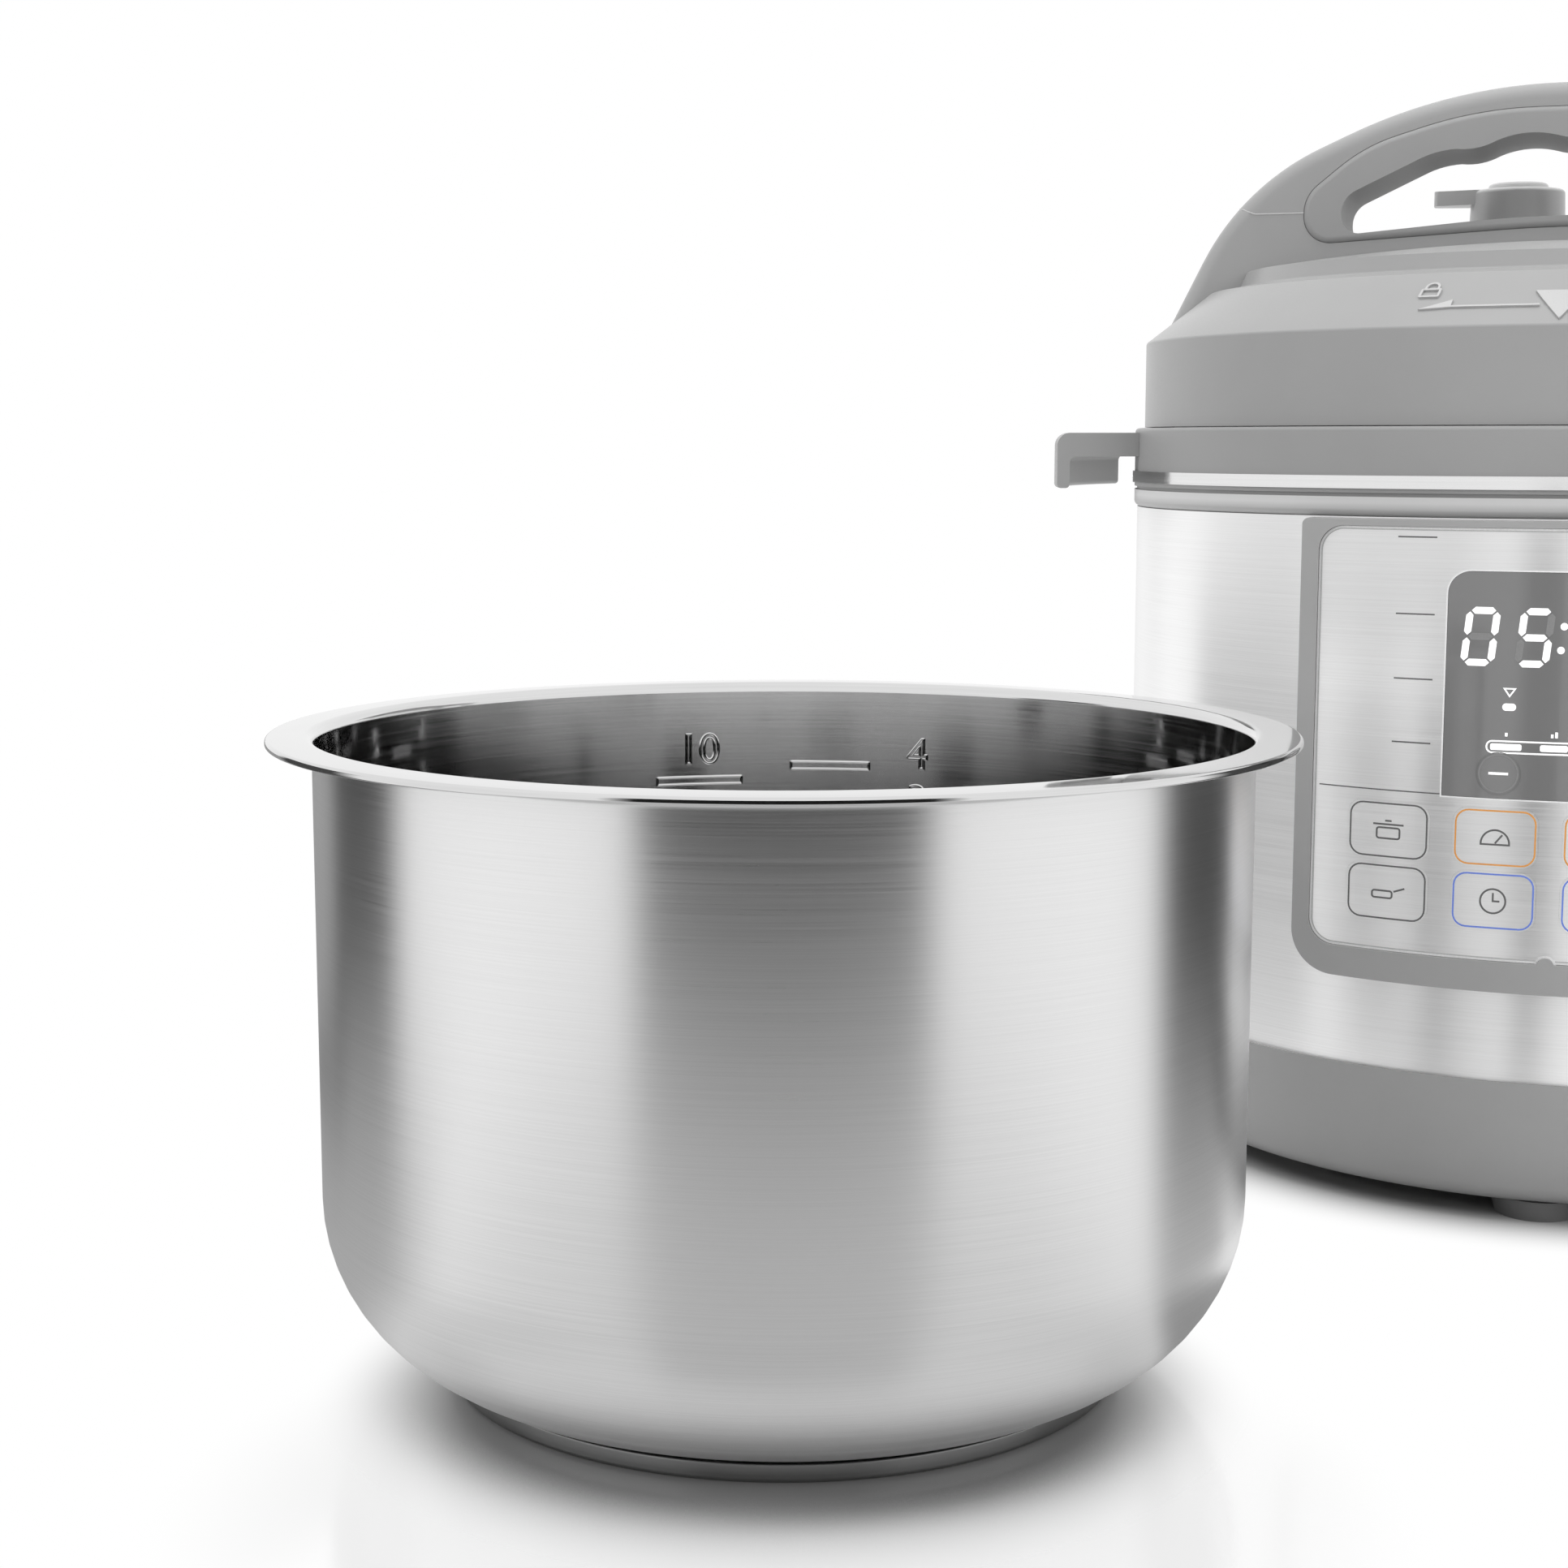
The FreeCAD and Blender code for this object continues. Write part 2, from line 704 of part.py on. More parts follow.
def pad_on(body, plane, outline, length, offset="0", both=False):
    """Add a pad of one outline to a body."""
    sketch = sketch_on(body, plane, outline, offset)
    pad = body.newObject("PartDesign::Pad", f"{body.Name}_pad")
    pad.Profile = sketch
    pad.Midplane = both
    bind(pad, Length=length)
    return pad


def padded(name, plane, outline, length, offset="0", both=False):
    """A body that is one pad."""
    body = doc.addObject("PartDesign::Body", name)
    pad_on(body, plane, outline, length, offset, both)
    return body


def pocket_through(body, plane, outline):
    """Cut one outline right through a body, both ways from the plane."""
    sketch = sketch_on(body, plane, outline)
    pocket = body.newObject("PartDesign::Pocket", f"{body.Name}_pocket")
    pocket.Profile = sketch
    pocket.Type = 1
    pocket.Midplane = True
    return pocket


def repeated(body, feature, count):
    """Repeat a feature of a body evenly round its Z axis."""
    axis = next(o for o in body.Origin.OriginFeatures if o.Role == "Z_Axis")
    pattern = body.newObject("PartDesign::PolarPattern", f"{body.Name}_pattern")
    pattern.Originals = [feature]
    pattern.Axis = (axis, [""])
    pattern.Angle = 360
    pattern.Occurrences = count
    body.Tip = pattern
    return pattern


def rounded(body, radius, chosen):
    """Round those edges of a body for which chosen(edge) holds."""
    doc.recompute()
    base = body.Tip
    names = [f"Edge{i}" for i, edge in enumerate(base.Shape.Edges, start=1) if chosen(edge)]
    fillet = body.newObject("PartDesign::Fillet", f"{body.Name}_round")
    fillet.Base = (base, names)
    bind(fillet, Radius=radius)
    return fillet


def rectangle(left, right, bottom, top, bottom_round=None, top_round=None):
    """The outline of a rectangle with rounded corners."""
    return [Corner(left, bottom, bottom_round), Corner(right, bottom, bottom_round),
            Corner(right, top, top_round), Corner(left, top, top_round)]


def sector(inner, outer, middle, angle):
    """The outline of a piece of a ring, spread over an angle about a middle direction."""
    low, high = f"({middle} - {angle} / 2)", f"({middle} + {angle} / 2)"
    return [Corner(f"({inner}) * cos({low})", f"({inner}) * sin({low})"),
            Corner(f"({outer}) * cos({low})", f"({outer}) * sin({low})"),
            Arc(outer, True),
            Corner(f"({outer}) * cos({high})", f"({outer}) * sin({high})"),
            Corner(f"({inner}) * cos({high})", f"({inner}) * sin({high})"),
            Arc(inner, False)]


def tube(name, inner, outer, bottom, top):
    """A plain ring about the Z axis."""
    return revolved(name, rectangle(inner, outer, bottom, top))


def slab(name, x, y, z, length, width, height):
    """A block from its lowest corner and its three sizes."""
    block = doc.addObject("Part::Box", name)
    bind(block, Length=length, Width=width, Height=height)
    return place(block, x, y, z)


def rod(name, radius, length, x="0", y="0", z="0", along_y=False):
    """A cylinder that stands on its position, or runs from it along +Y."""
    cylinder = doc.addObject("Part::Cylinder", name)
    if along_y:
        cylinder.Placement.Rotation = FreeCAD.Rotation(FreeCAD.Vector(1, 0, 0), -90)
    bind(cylinder, Radius=radius, Height=length)
    return place(cylinder, x, y, z)


def cut(name, base, *tools):
    """One object less one or more others."""
    result = doc.addObject("Part::Cut", name)
    result.Base = base
    result.Tool = tools[0] if len(tools) == 1 else joined(f"{name}_tools", *tools)
    return result


def joined(name, *things):
    """Several objects fused into one."""
    result = doc.addObject("Part::MultiFuse", name)
    result.Shapes = list(things)
    return result


def shared(name, first, second):
    """The room that two objects share."""
    result = doc.addObject("Part::Common", name)
    result.Base = first
    result.Tool = second
    return result


def group(name, things):
    """Alike pieces that are kept together as separate solids."""
    result = doc.addObject("Part::Compound", name)
    result.Links = list(things)
    return result


def round_places(count, circle, first_angle):
    """Positions spaced evenly on a circle, as pairs of formulas."""
    angles = [first_angle + 360 / count * i for i in range(count)]
    return [(f"{circle} * cos({a})", f"{circle} * sin({a})") for a in angles]


def screw(name, x, y, head_z, length):
    """A round-headed screw that points up, with its head's underside at head_z."""
    head = rod(f"{name}_head", "screw_head_radius", "screw_head_height", x, y,
               f"{head_z} - screw_head_height")
    shank = rod(f"{name}_shank", "screw_radius", length, x, y, head_z)
    return joined(name, head, shank)


def make_base():
    """Feet, base pan, bottom cover and its screws."""
    cones = []
    for x, y in round_places(FOOT_COUNT, "foot_circle", -90):
        cone = doc.addObject("Part::Cone", "foot_cone")
        bind(cone, Radius1="foot_tip_radius", Radius2="foot_radius", Height="foot_height")
        cones.append(place(cone, x, y))
    piece(group("foot_group", cones), "feet")

    pan = revolved("pan_turned", [
        Corner("cover_hole_radius", "foot_height"),
        Corner("base_bottom_radius", "foot_height", "base_corner"),
        Corner("base_radius", "shell_z"),
        Corner("spigot_radius", "shell_z"),
        Corner("spigot_radius", "shell_z + spigot_height"),
        Corner("spigot_bore", "shell_z + spigot_height"),
        Corner("spigot_bore", "shell_z - spigot_height"),
        Corner("base_bottom_radius - base_wall", "pan_floor"),
        Corner("cover_hole_radius", "pan_floor"),
    ])
    screws = round_places(SCREW_COUNT, "cover_screw_circle", 45)
    holes = [rod("cover_screw_hole", "screw_hole", "base_wall + cover_thickness + 2 * cut_past", x, y,
                 "cover_z - cut_past") for x, y in screws]
    inlet_hole = slab("inlet_hole", "-inlet_width / 2 - fit_gap", "inlet_front", "inlet_z - fit_gap",
                      "inlet_width + 2 * fit_gap", "inlet_depth + base_wall * 2",
                      "inlet_height + 2 * fit_gap")
    piece(cut("pan_cut", pan, inlet_hole, *holes), "base_pan")

    cover = tube("cover_disc", "0", "cover_radius", "cover_z", "foot_height")
    vent = pocket_through(cover, "XY_Plane", rectangle(
        "vent_circle - vent_length / 2", "vent_circle + vent_length / 2",
        "-vent_width / 2", "vent_width / 2", f"vent_width * {SLOT_ROUND}", f"vent_width * {SLOT_ROUND}"))
    repeated(cover, vent, VENT_COUNT)
    cover_holes = [rod("cover_hole", "screw_hole", "cover_thickness + 2 * cut_past", x, y,
                       "cover_z - cut_past") for x, y in screws]
    piece(cut("cover_cut", cover, *cover_holes), "bottom_cover")
    piece(group("cover_screw_group", [screw("cover_screw", x, y, "cover_z", "base_wall + cover_thickness")
                                      for x, y in screws]), "bottom_screws")


def make_shell():
    """Steel shell, collar, bright ring and side handles."""
    tube_body = tube("shell_tube", "shell_bore", "shell_radius", "shell_z", "collar_z")
    window = slab("shell_window", "-window_half", "-shell_radius - cut_past", "window_z",
                  "2 * window_half", "shell_radius + cut_past - chamber_outer", "window_top - window_z")
    piece(cut("shell_cut", tube_body, window), "outer_shell")

    piece(revolved("collar_turned", [
        Corner("spigot_bore", "collar_z - spigot_height"),
        Corner("spigot_radius", "collar_z - spigot_height"),
        Corner("spigot_radius", "collar_z"),
        Corner("collar_radius", "collar_z", "collar_lip"),
        Corner("collar_radius", "groove_z"),
        Corner("groove_bore", "groove_z"),
        Corner("groove_bore", "groove_top"),
        Corner("collar_radius", "groove_top"),
        Corner("collar_radius", "trim_z"),
        Corner("trim_bore", "trim_z"),
        Corner("trim_bore", "trim_top"),
        Corner("collar_radius", "trim_top"),
        Corner("collar_radius", "collar_top", "collar_edge"),
        Corner("flange_radius + fit_gap", "collar_top"),
        Corner("flange_radius + fit_gap", "flange_z"),
        Corner("spigot_bore", "flange_z"),
    ]), "collar")
    piece(tube("trim_tube", "trim_bore", "collar_radius + trim_proud", "trim_z", "trim_top"), "trim_ring")

    for label, angle in (("side_handle_right", 0), ("side_handle_left", 180)):
        handle = revolved(f"{label}_turned", [
            Corner("collar_radius", "grip_top"),
            Corner("collar_radius", "grip_top - grip_thickness"),
            Corner("grip_outer - grip_lip", "grip_top - grip_thickness", "grip_lip / 2"),
            Corner("grip_outer - grip_lip", "grip_top - grip_drop", "grip_edge"),
            Corner("grip_outer", "grip_top - grip_drop", "grip_edge"),
            Corner("grip_outer", "grip_top", "grip_lip"),
        ], "grip_angle")
        handle.Placement.Rotation = FreeCAD.Rotation(FreeCAD.Vector(0, 0, 1), angle)
        piece(handle, label)


def make_chamber():
    """Chamber with bayonet lugs, heating plate, element, standoffs, sensor, switch and fuse."""
    chamber = revolved("chamber_turned", [
        Corner("0", "chamber_bottom"),
        Corner("chamber_outer", "chamber_bottom", "chamber_corner + chamber_wall"),
        Corner("chamber_outer", "trough_z - chamber_wall"),
        Corner("trough_outer", "trough_z - chamber_wall", "chamber_wall * 2"),
        Corner("trough_outer", "flange_z"),
        Corner("flange_radius", "flange_z"),
        Corner("flange_radius", "flange_top"),
        Corner("trough_radius", "flange_top"),
        Corner("trough_radius", "trough_z", "chamber_wall"),
        Corner("chamber_radius", "trough_z", "chamber_wall"),
        Corner("chamber_radius", "chamber_floor", "chamber_corner"),
        Corner("0", "chamber_floor"),
    ])
    lug = pad_on(chamber, "XY_Plane", sector("trough_radius - lug_length", "trough_radius + chamber_wall / 2",
                                             "0", "lug_angle"), "lug_thickness", "lug_z")
    repeated(chamber, lug, LUG_COUNT)
    terminals = [("-terminal_spread", "-terminal_y"), ("terminal_spread", "-terminal_y")]
    holes = [rod("terminal_hole", "terminal_radius + terminal_gap", "chamber_wall + 2 * cut_past", x, y,
                 "chamber_bottom - cut_past") for x, y in terminals]
    piece(cut("chamber_cut", chamber, *holes), "chamber")

    disc = revolved("plate_turned", rectangle("sensor_radius + running_gap", "plate_radius",
                                              "plate_z", "pot_seat"))
    groove = doc.addObject("Part::Torus", "element_groove")
    bind(groove, Radius1="element_circle", Radius2="element_groove")
    place(groove, z="plate_z")
    piece(cut("plate_cut", disc, groove), "heating_plate")
    loop = doc.addObject("Part::Torus", "element_loop")
    bind(loop, Radius1="element_circle", Radius2="element_radius")
    place(loop, z="plate_z")
    ends = [rod("element_terminal", "terminal_radius", "terminal_length", x, y, "plate_z - terminal_length")
            for x, y in terminals]
    piece(joined("element_fused", loop, *ends), "heating_element")
    piece(group("standoff_group", [
        rod("standoff", "standoff_radius", "plate_clearance", x, y, "chamber_floor")
        for x, y in round_places(STANDOFF_COUNT, "standoff_circle", 30)]), "plate_standoffs")

    piece(revolved("bracket_turned", [
        Corner("0", "chamber_floor"),
        Corner("bracket_radius", "chamber_floor"),
        Corner("bracket_radius", "chamber_floor + bracket_thickness"),
        Corner("bracket_post_radius", "chamber_floor + bracket_thickness"),
        Corner("bracket_post_radius", "chamber_floor + bracket_thickness + bracket_post_height"),
        Corner("0", "chamber_floor + bracket_thickness + bracket_post_height"),
    ]), "sensor_bracket")
    piece(revolved("sensor_turned", [
        Corner("sensor_radius - sensor_wall", "sensor_top - sensor_height"),
        Corner("sensor_radius", "sensor_top - sensor_height"),
        Corner("sensor_radius", "sensor_top", "sensor_wall"),
        Corner("0", "sensor_top"),
        Corner("0", "sensor_top - sensor_wall"),
        Corner("sensor_radius - sensor_wall", "sensor_top - sensor_wall"),
    ]), "sensor_cup")
    path = doc.addObject("Part::Helix", "spring_path")
    bind(path, Radius="spring_radius", Height="spring_top - spring_z",
         Pitch=f"(spring_top - spring_z) / {SPRING_TURNS}")
    place(path, z="spring_z")
    wire = doc.addObject("Part::Circle", "spring_section")
    wire.Placement.Rotation = FreeCAD.Rotation(FreeCAD.Vector(1, 0, 0), 90)
    bind(wire, Radius="spring_wire")
    place(wire, x="spring_radius", z="spring_z")
    coil = doc.addObject("Part::Sweep", "spring_coil")
    coil.Sections = [wire]
    coil.Spine = (path, [])
    coil.Solid = True
    coil.Frenet = True
    piece(coil, "sensor_spring")

    can = rod("switch_can", "switch_can_radius", "switch_can_height", "switch_can_x", "switch_can_y",
              "chamber_bottom - switch_can_height")
    blades = [slab("switch_blade", f"switch_can_x + {side} * blade_width - blade_width / 2",
                   "switch_can_y - blade_thickness / 2", "chamber_bottom - switch_can_height - blade_length",
                   "blade_width", "blade_thickness", "blade_length + blade_root") for side in (-1, 1)]
    piece(joined("switch_fused", can, *blades), "pressure_switch")
    piece(rod("fuse_rod", "fuse_radius", "fuse_length", "fuse_circle * cos(fuse_angle)",
              "fuse_circle * sin(fuse_angle)", "fuse_z"), "thermal_fuse")


def make_power_board():
    """Power board on its posts, with relay and transformer."""
    far = "power_board_length / 2 - board_post_inset"
    near_y, far_y = "power_board_y + board_post_inset", "power_board_y + power_board_width - board_post_inset"
    piece(group("post_group", [
        rod("board_post", "board_post_radius", "board_post_height", x, y, "foot_height")
        for x in (f"-({far})", far) for y in (near_y, far_y)]), "board_posts")
    piece(slab("power_board_slab", "-power_board_length / 2", "power_board_y", "power_board_z",
               "power_board_length", "power_board_width", "board_thickness"), "power_board")
    piece(slab("transformer_slab", "power_board_length / 4 - transformer_length / 2",
               "power_board_y + power_board_width / 2 - transformer_width / 2", "power_board_top",
               "transformer_length", "transformer_width", "transformer_height"), "transformer")
    piece(slab("relay_slab", "-power_board_length / 4 - relay_length / 2",
               "power_board_y + power_board_width / 2 - relay_width / 2", "power_board_top",
               "relay_length", "relay_width", "relay_height"), "relay")


def make_inlet():
    """Power inlet at the back of the base, with its pins."""
    block = slab("inlet_block", "-inlet_width / 2", "inlet_front", "inlet_z",
                 "inlet_width", "inlet_depth", "inlet_height")
    recess = slab("inlet_recess", "-inlet_width / 2 + inlet_rim", "socket_floor", "inlet_z + inlet_rim",
                  "inlet_width - 2 * inlet_rim", "socket_depth + cut_past", "inlet_height - 2 * inlet_rim")
    piece(cut("inlet_cut", block, recess), "power_inlet")
    piece(group("pin_group", [
        rod("inlet_pin", "pin_radius", "pin_length", f"{side} * pin_spread", "socket_floor",
            "inlet_z + inlet_height / 2", along_y=True) for side in (-1, 0, 1)]), "inlet_pins")


def key_places():
    """Label, x and z of each rectangular key, the upper row first."""
    places = []
    for row_name, row in (("upper", 1), ("lower", 0)):
        z = f"panel_z + key_row_rise + {row} * key_row_pitch"
        for column in range(KEY_COLUMNS):
            x = f"({column} - {(KEY_COLUMNS - 1) / 2}) * key_pitch"
            places.append((f"key_{row_name}_{column + 1}", x, z))
    return places


def round_key_places():
    """Label, x and z of the two round keys in the display."""
    z = "panel_z + round_key_rise"
    return [("key_minus", "-round_key_spread", z), ("key_plus", "round_key_spread", z)]


def upright(name, outline):
    """A prism along -Y from behind the panel to past its face, for shaping curved panel pieces."""
    return padded(name, "XZ_Plane", outline, "prism_front - prism_back", "prism_back")


def upright_round(name, radius, x, z):
    """A round prism of the same reach."""
    return rod(name, radius, "prism_front - prism_back", x, "-prism_front", z, along_y=True)


def key_outline(x, z, gap):
    """The outline of a rectangular key, grown by a gap."""
    half, rise = f"(key_width / 2 + {gap})", f"(key_height / 2 + {gap})"
    corner = f"key_corner + {gap}"
    return rectangle(f"{x} - {half}", f"{x} + {half}", f"{z} - {rise}", f"{z} + {rise}", corner, corner)


def make_panel():
    """Panel frame, face plate, display window and keys, all curved about the cooker's axis."""
    frame_ring = tube("frame_ring", "shell_radius", "frame_radius", "panel_low", "panel_high")
    outside = upright("frame_outside", rectangle(
        "-panel_width / 2", "panel_width / 2", "panel_z", "panel_top", "panel_corner", "frame_top"))
    left, right = "-panel_width / 2 + frame_side", "panel_width / 2 - frame_side"
    bottom, top = "panel_z + frame_bottom", "panel_top - frame_top"
    recess_ring = tube("recess_ring", "face_back", "frame_radius + cut_past", "panel_low", "panel_high")
    inside = upright("frame_inside", rectangle(left, right, bottom, top,
                                               "frame_inner_corner", "frame_inner_corner"))
    opening = upright("frame_opening", rectangle(
        f"{left} + frame_ledge", f"{right} - frame_ledge", f"{bottom} + frame_ledge", f"{top} - frame_ledge",
        "frame_inner_corner", "frame_inner_corner"))
    frame_block = shared("frame_block", frame_ring, outside)
    recess = shared("frame_recess", recess_ring, inside)
    piece(cut("frame_cut", frame_block, recess, opening), "panel_frame")

    face_ring = tube("face_ring", "face_back", "face_radius", "panel_low", "panel_high")
    face_outline = upright("face_outline", rectangle(
        f"{left} + fit_gap", f"{right} - fit_gap", f"{bottom} + fit_gap", f"{top} - fit_gap",
        "frame_inner_corner", "frame_inner_corner"))
    window_z = "panel_z + display_rise"
    holes = [upright("key_hole", key_outline(x, z, "running_gap")) for _, x, z in key_places()]
    holes.append(upright("display_hole", rectangle(
        "-display_width / 2 - fit_gap", "display_width / 2 + fit_gap", f"{window_z} - fit_gap",
        f"{window_z} + display_height + fit_gap", None, "display_corner")))
    face_block = shared("face_block", face_ring, face_outline)
    piece(cut("face_cut", face_block, *holes), "face_plate")

    display_ring = tube("display_ring", "face_radius - display_thickness", "face_radius",
                        "panel_low", "panel_high")
    display_outline = upright("display_outline", rectangle(
        "-display_width / 2", "display_width / 2", window_z, f"{window_z} + display_height",
        None, "display_corner"))
    display_block = shared("display_block", display_ring, display_outline)
    round_holes = [upright_round("round_key_hole", "round_key_radius + running_gap", x, z)
                   for _, x, z in round_key_places()]
    piece(cut("display_cut", display_block, *round_holes), "display_window")

    key_ring = tube("key_ring", "key_back", "key_face", "panel_low", "panel_high")
    for label, x, z in key_places():
        cap = shared(f"{label}_cap", key_ring, upright(f"{label}_prism", key_outline(x, z, "0")))
        piece(joined(f"{label}_fused", cap, key_stem(label, x, z)), label)
    for label, x, z in round_key_places():
        cap = shared(f"{label}_cap", key_ring, upright_round(f"{label}_prism", "round_key_radius", x, z))
        piece(joined(f"{label}_fused", cap, key_stem(label, x, z)), label)


def key_stem(label, x, z):
    """The stem that carries a key's push back to its switch."""
    root = f"(sqrt(key_back ^ 2 - ({x}) ^ 2) + key_stem_sink)"
    return rod(f"{label}_stem", "key_stem_radius", f"{root} - stem_tip", x, f"-{root}", z, along_y=True)


def make_control_board():
    """Control board with key switches and display module, on posts behind the face plate."""
    board_z, board_top = "window_z + control_board_margin", "window_top - control_board_margin"
    piece(slab("control_board_slab", "-control_board_width / 2", "-board_front", board_z,
               "control_board_width", "board_thickness", f"{board_top} - ({board_z})"), "control_board")
    half = "key_switch_size / 2"
    piece(group("key_switch_group", [
        slab("key_switch", f"{x} - {half}", "-switch_front", f"{z} - {half}",
             "key_switch_size", "key_switch_height", "key_switch_size")
        for _, x, z in key_places() + round_key_places()]), "key_switches")
    piece(slab("display_slab", "-display_module_width / 2", "-board_front - display_module_depth",
               "display_module_z",
               "display_module_width", "display_module_depth", "display_module_height"), "display_module")
    post_x = "(control_board_width / 2 - board_post_radius - fit_gap)"
    reach = f"(sqrt(face_back ^ 2 - ({post_x} + board_post_radius) ^ 2) - fit_gap)"
    piece(group("panel_post_group", [
        rod("panel_post", "board_post_radius", f"{reach} - board_front", x, f"-{reach}", z, along_y=True)
        for x in (f"-{post_x}", post_x)
        for z in (f"{board_z} + board_post_inset", f"{board_top} - board_post_inset")]), "panel_posts")


def make_cup():
    """Condensation cup at the back and the rail that it slides out of."""
    block = slab("rail_block", "-rail_half", "rail_root", "rail_z",
                 "2 * rail_half", "rail_back - rail_root", "rail_top - rail_z")
    inner, length = "rail_root - cut_past", "rail_back - rail_root + 2 * cut_past"
    channel_half = "(cup_width / 2 + cup_flange + running_gap)"
    channel = slab("rail_channel", f"-{channel_half}", inner, "channel_z",
                   f"2 * {channel_half}", length, "channel_top - channel_z")
    slot = slab("rail_slot", "-cup_width / 2 - running_gap", inner, "rail_z - cut_past",
                "cup_width + 2 * running_gap", length, "channel_z - rail_z + 2 * cut_past")
    core = rod("rail_core", "shell_radius", "rail_top - rail_z + 2 * cut_past", z="rail_z - cut_past")
    piece(cut("rail_cut", block, channel, slot, core), "cup_rail")

    cup = padded("cup_body", "XY_Plane", [
        Corner("-cup_width / 2", "cup_y"),
        Corner("cup_width / 2", "cup_y"),
        Corner("cup_width / 2", "cup_y + cup_depth", "cup_corner"),
        Corner("-cup_width / 2", "cup_y + cup_depth", "cup_corner"),
    ], "cup_height", "cup_z")
    flange_half = "(cup_width / 2 + cup_flange)"
    flange = rectangle(f"-{flange_half}", flange_half, "cup_y", "cup_y + cup_depth - cup_corner")
    pad_on(cup, "XY_Plane", flange, "cup_flange_height", "cup_flange_z")
    hollow = padded("cup_hollow", "XY_Plane", [
        Corner("-cup_width / 2 + cup_wall", "cup_y + cup_wall"),
        Corner("cup_width / 2 - cup_wall", "cup_y + cup_wall"),
        Corner("cup_width / 2 - cup_wall", "cup_y + cup_depth - cup_wall", "cup_corner - cup_wall"),
        Corner("-cup_width / 2 + cup_wall", "cup_y + cup_depth - cup_wall", "cup_corner - cup_wall"),
    ], "cup_height + cup_flange_height", "cup_z + cup_wall")
    piece(cut("cup_cut", cup, hollow), "condensation_cup")


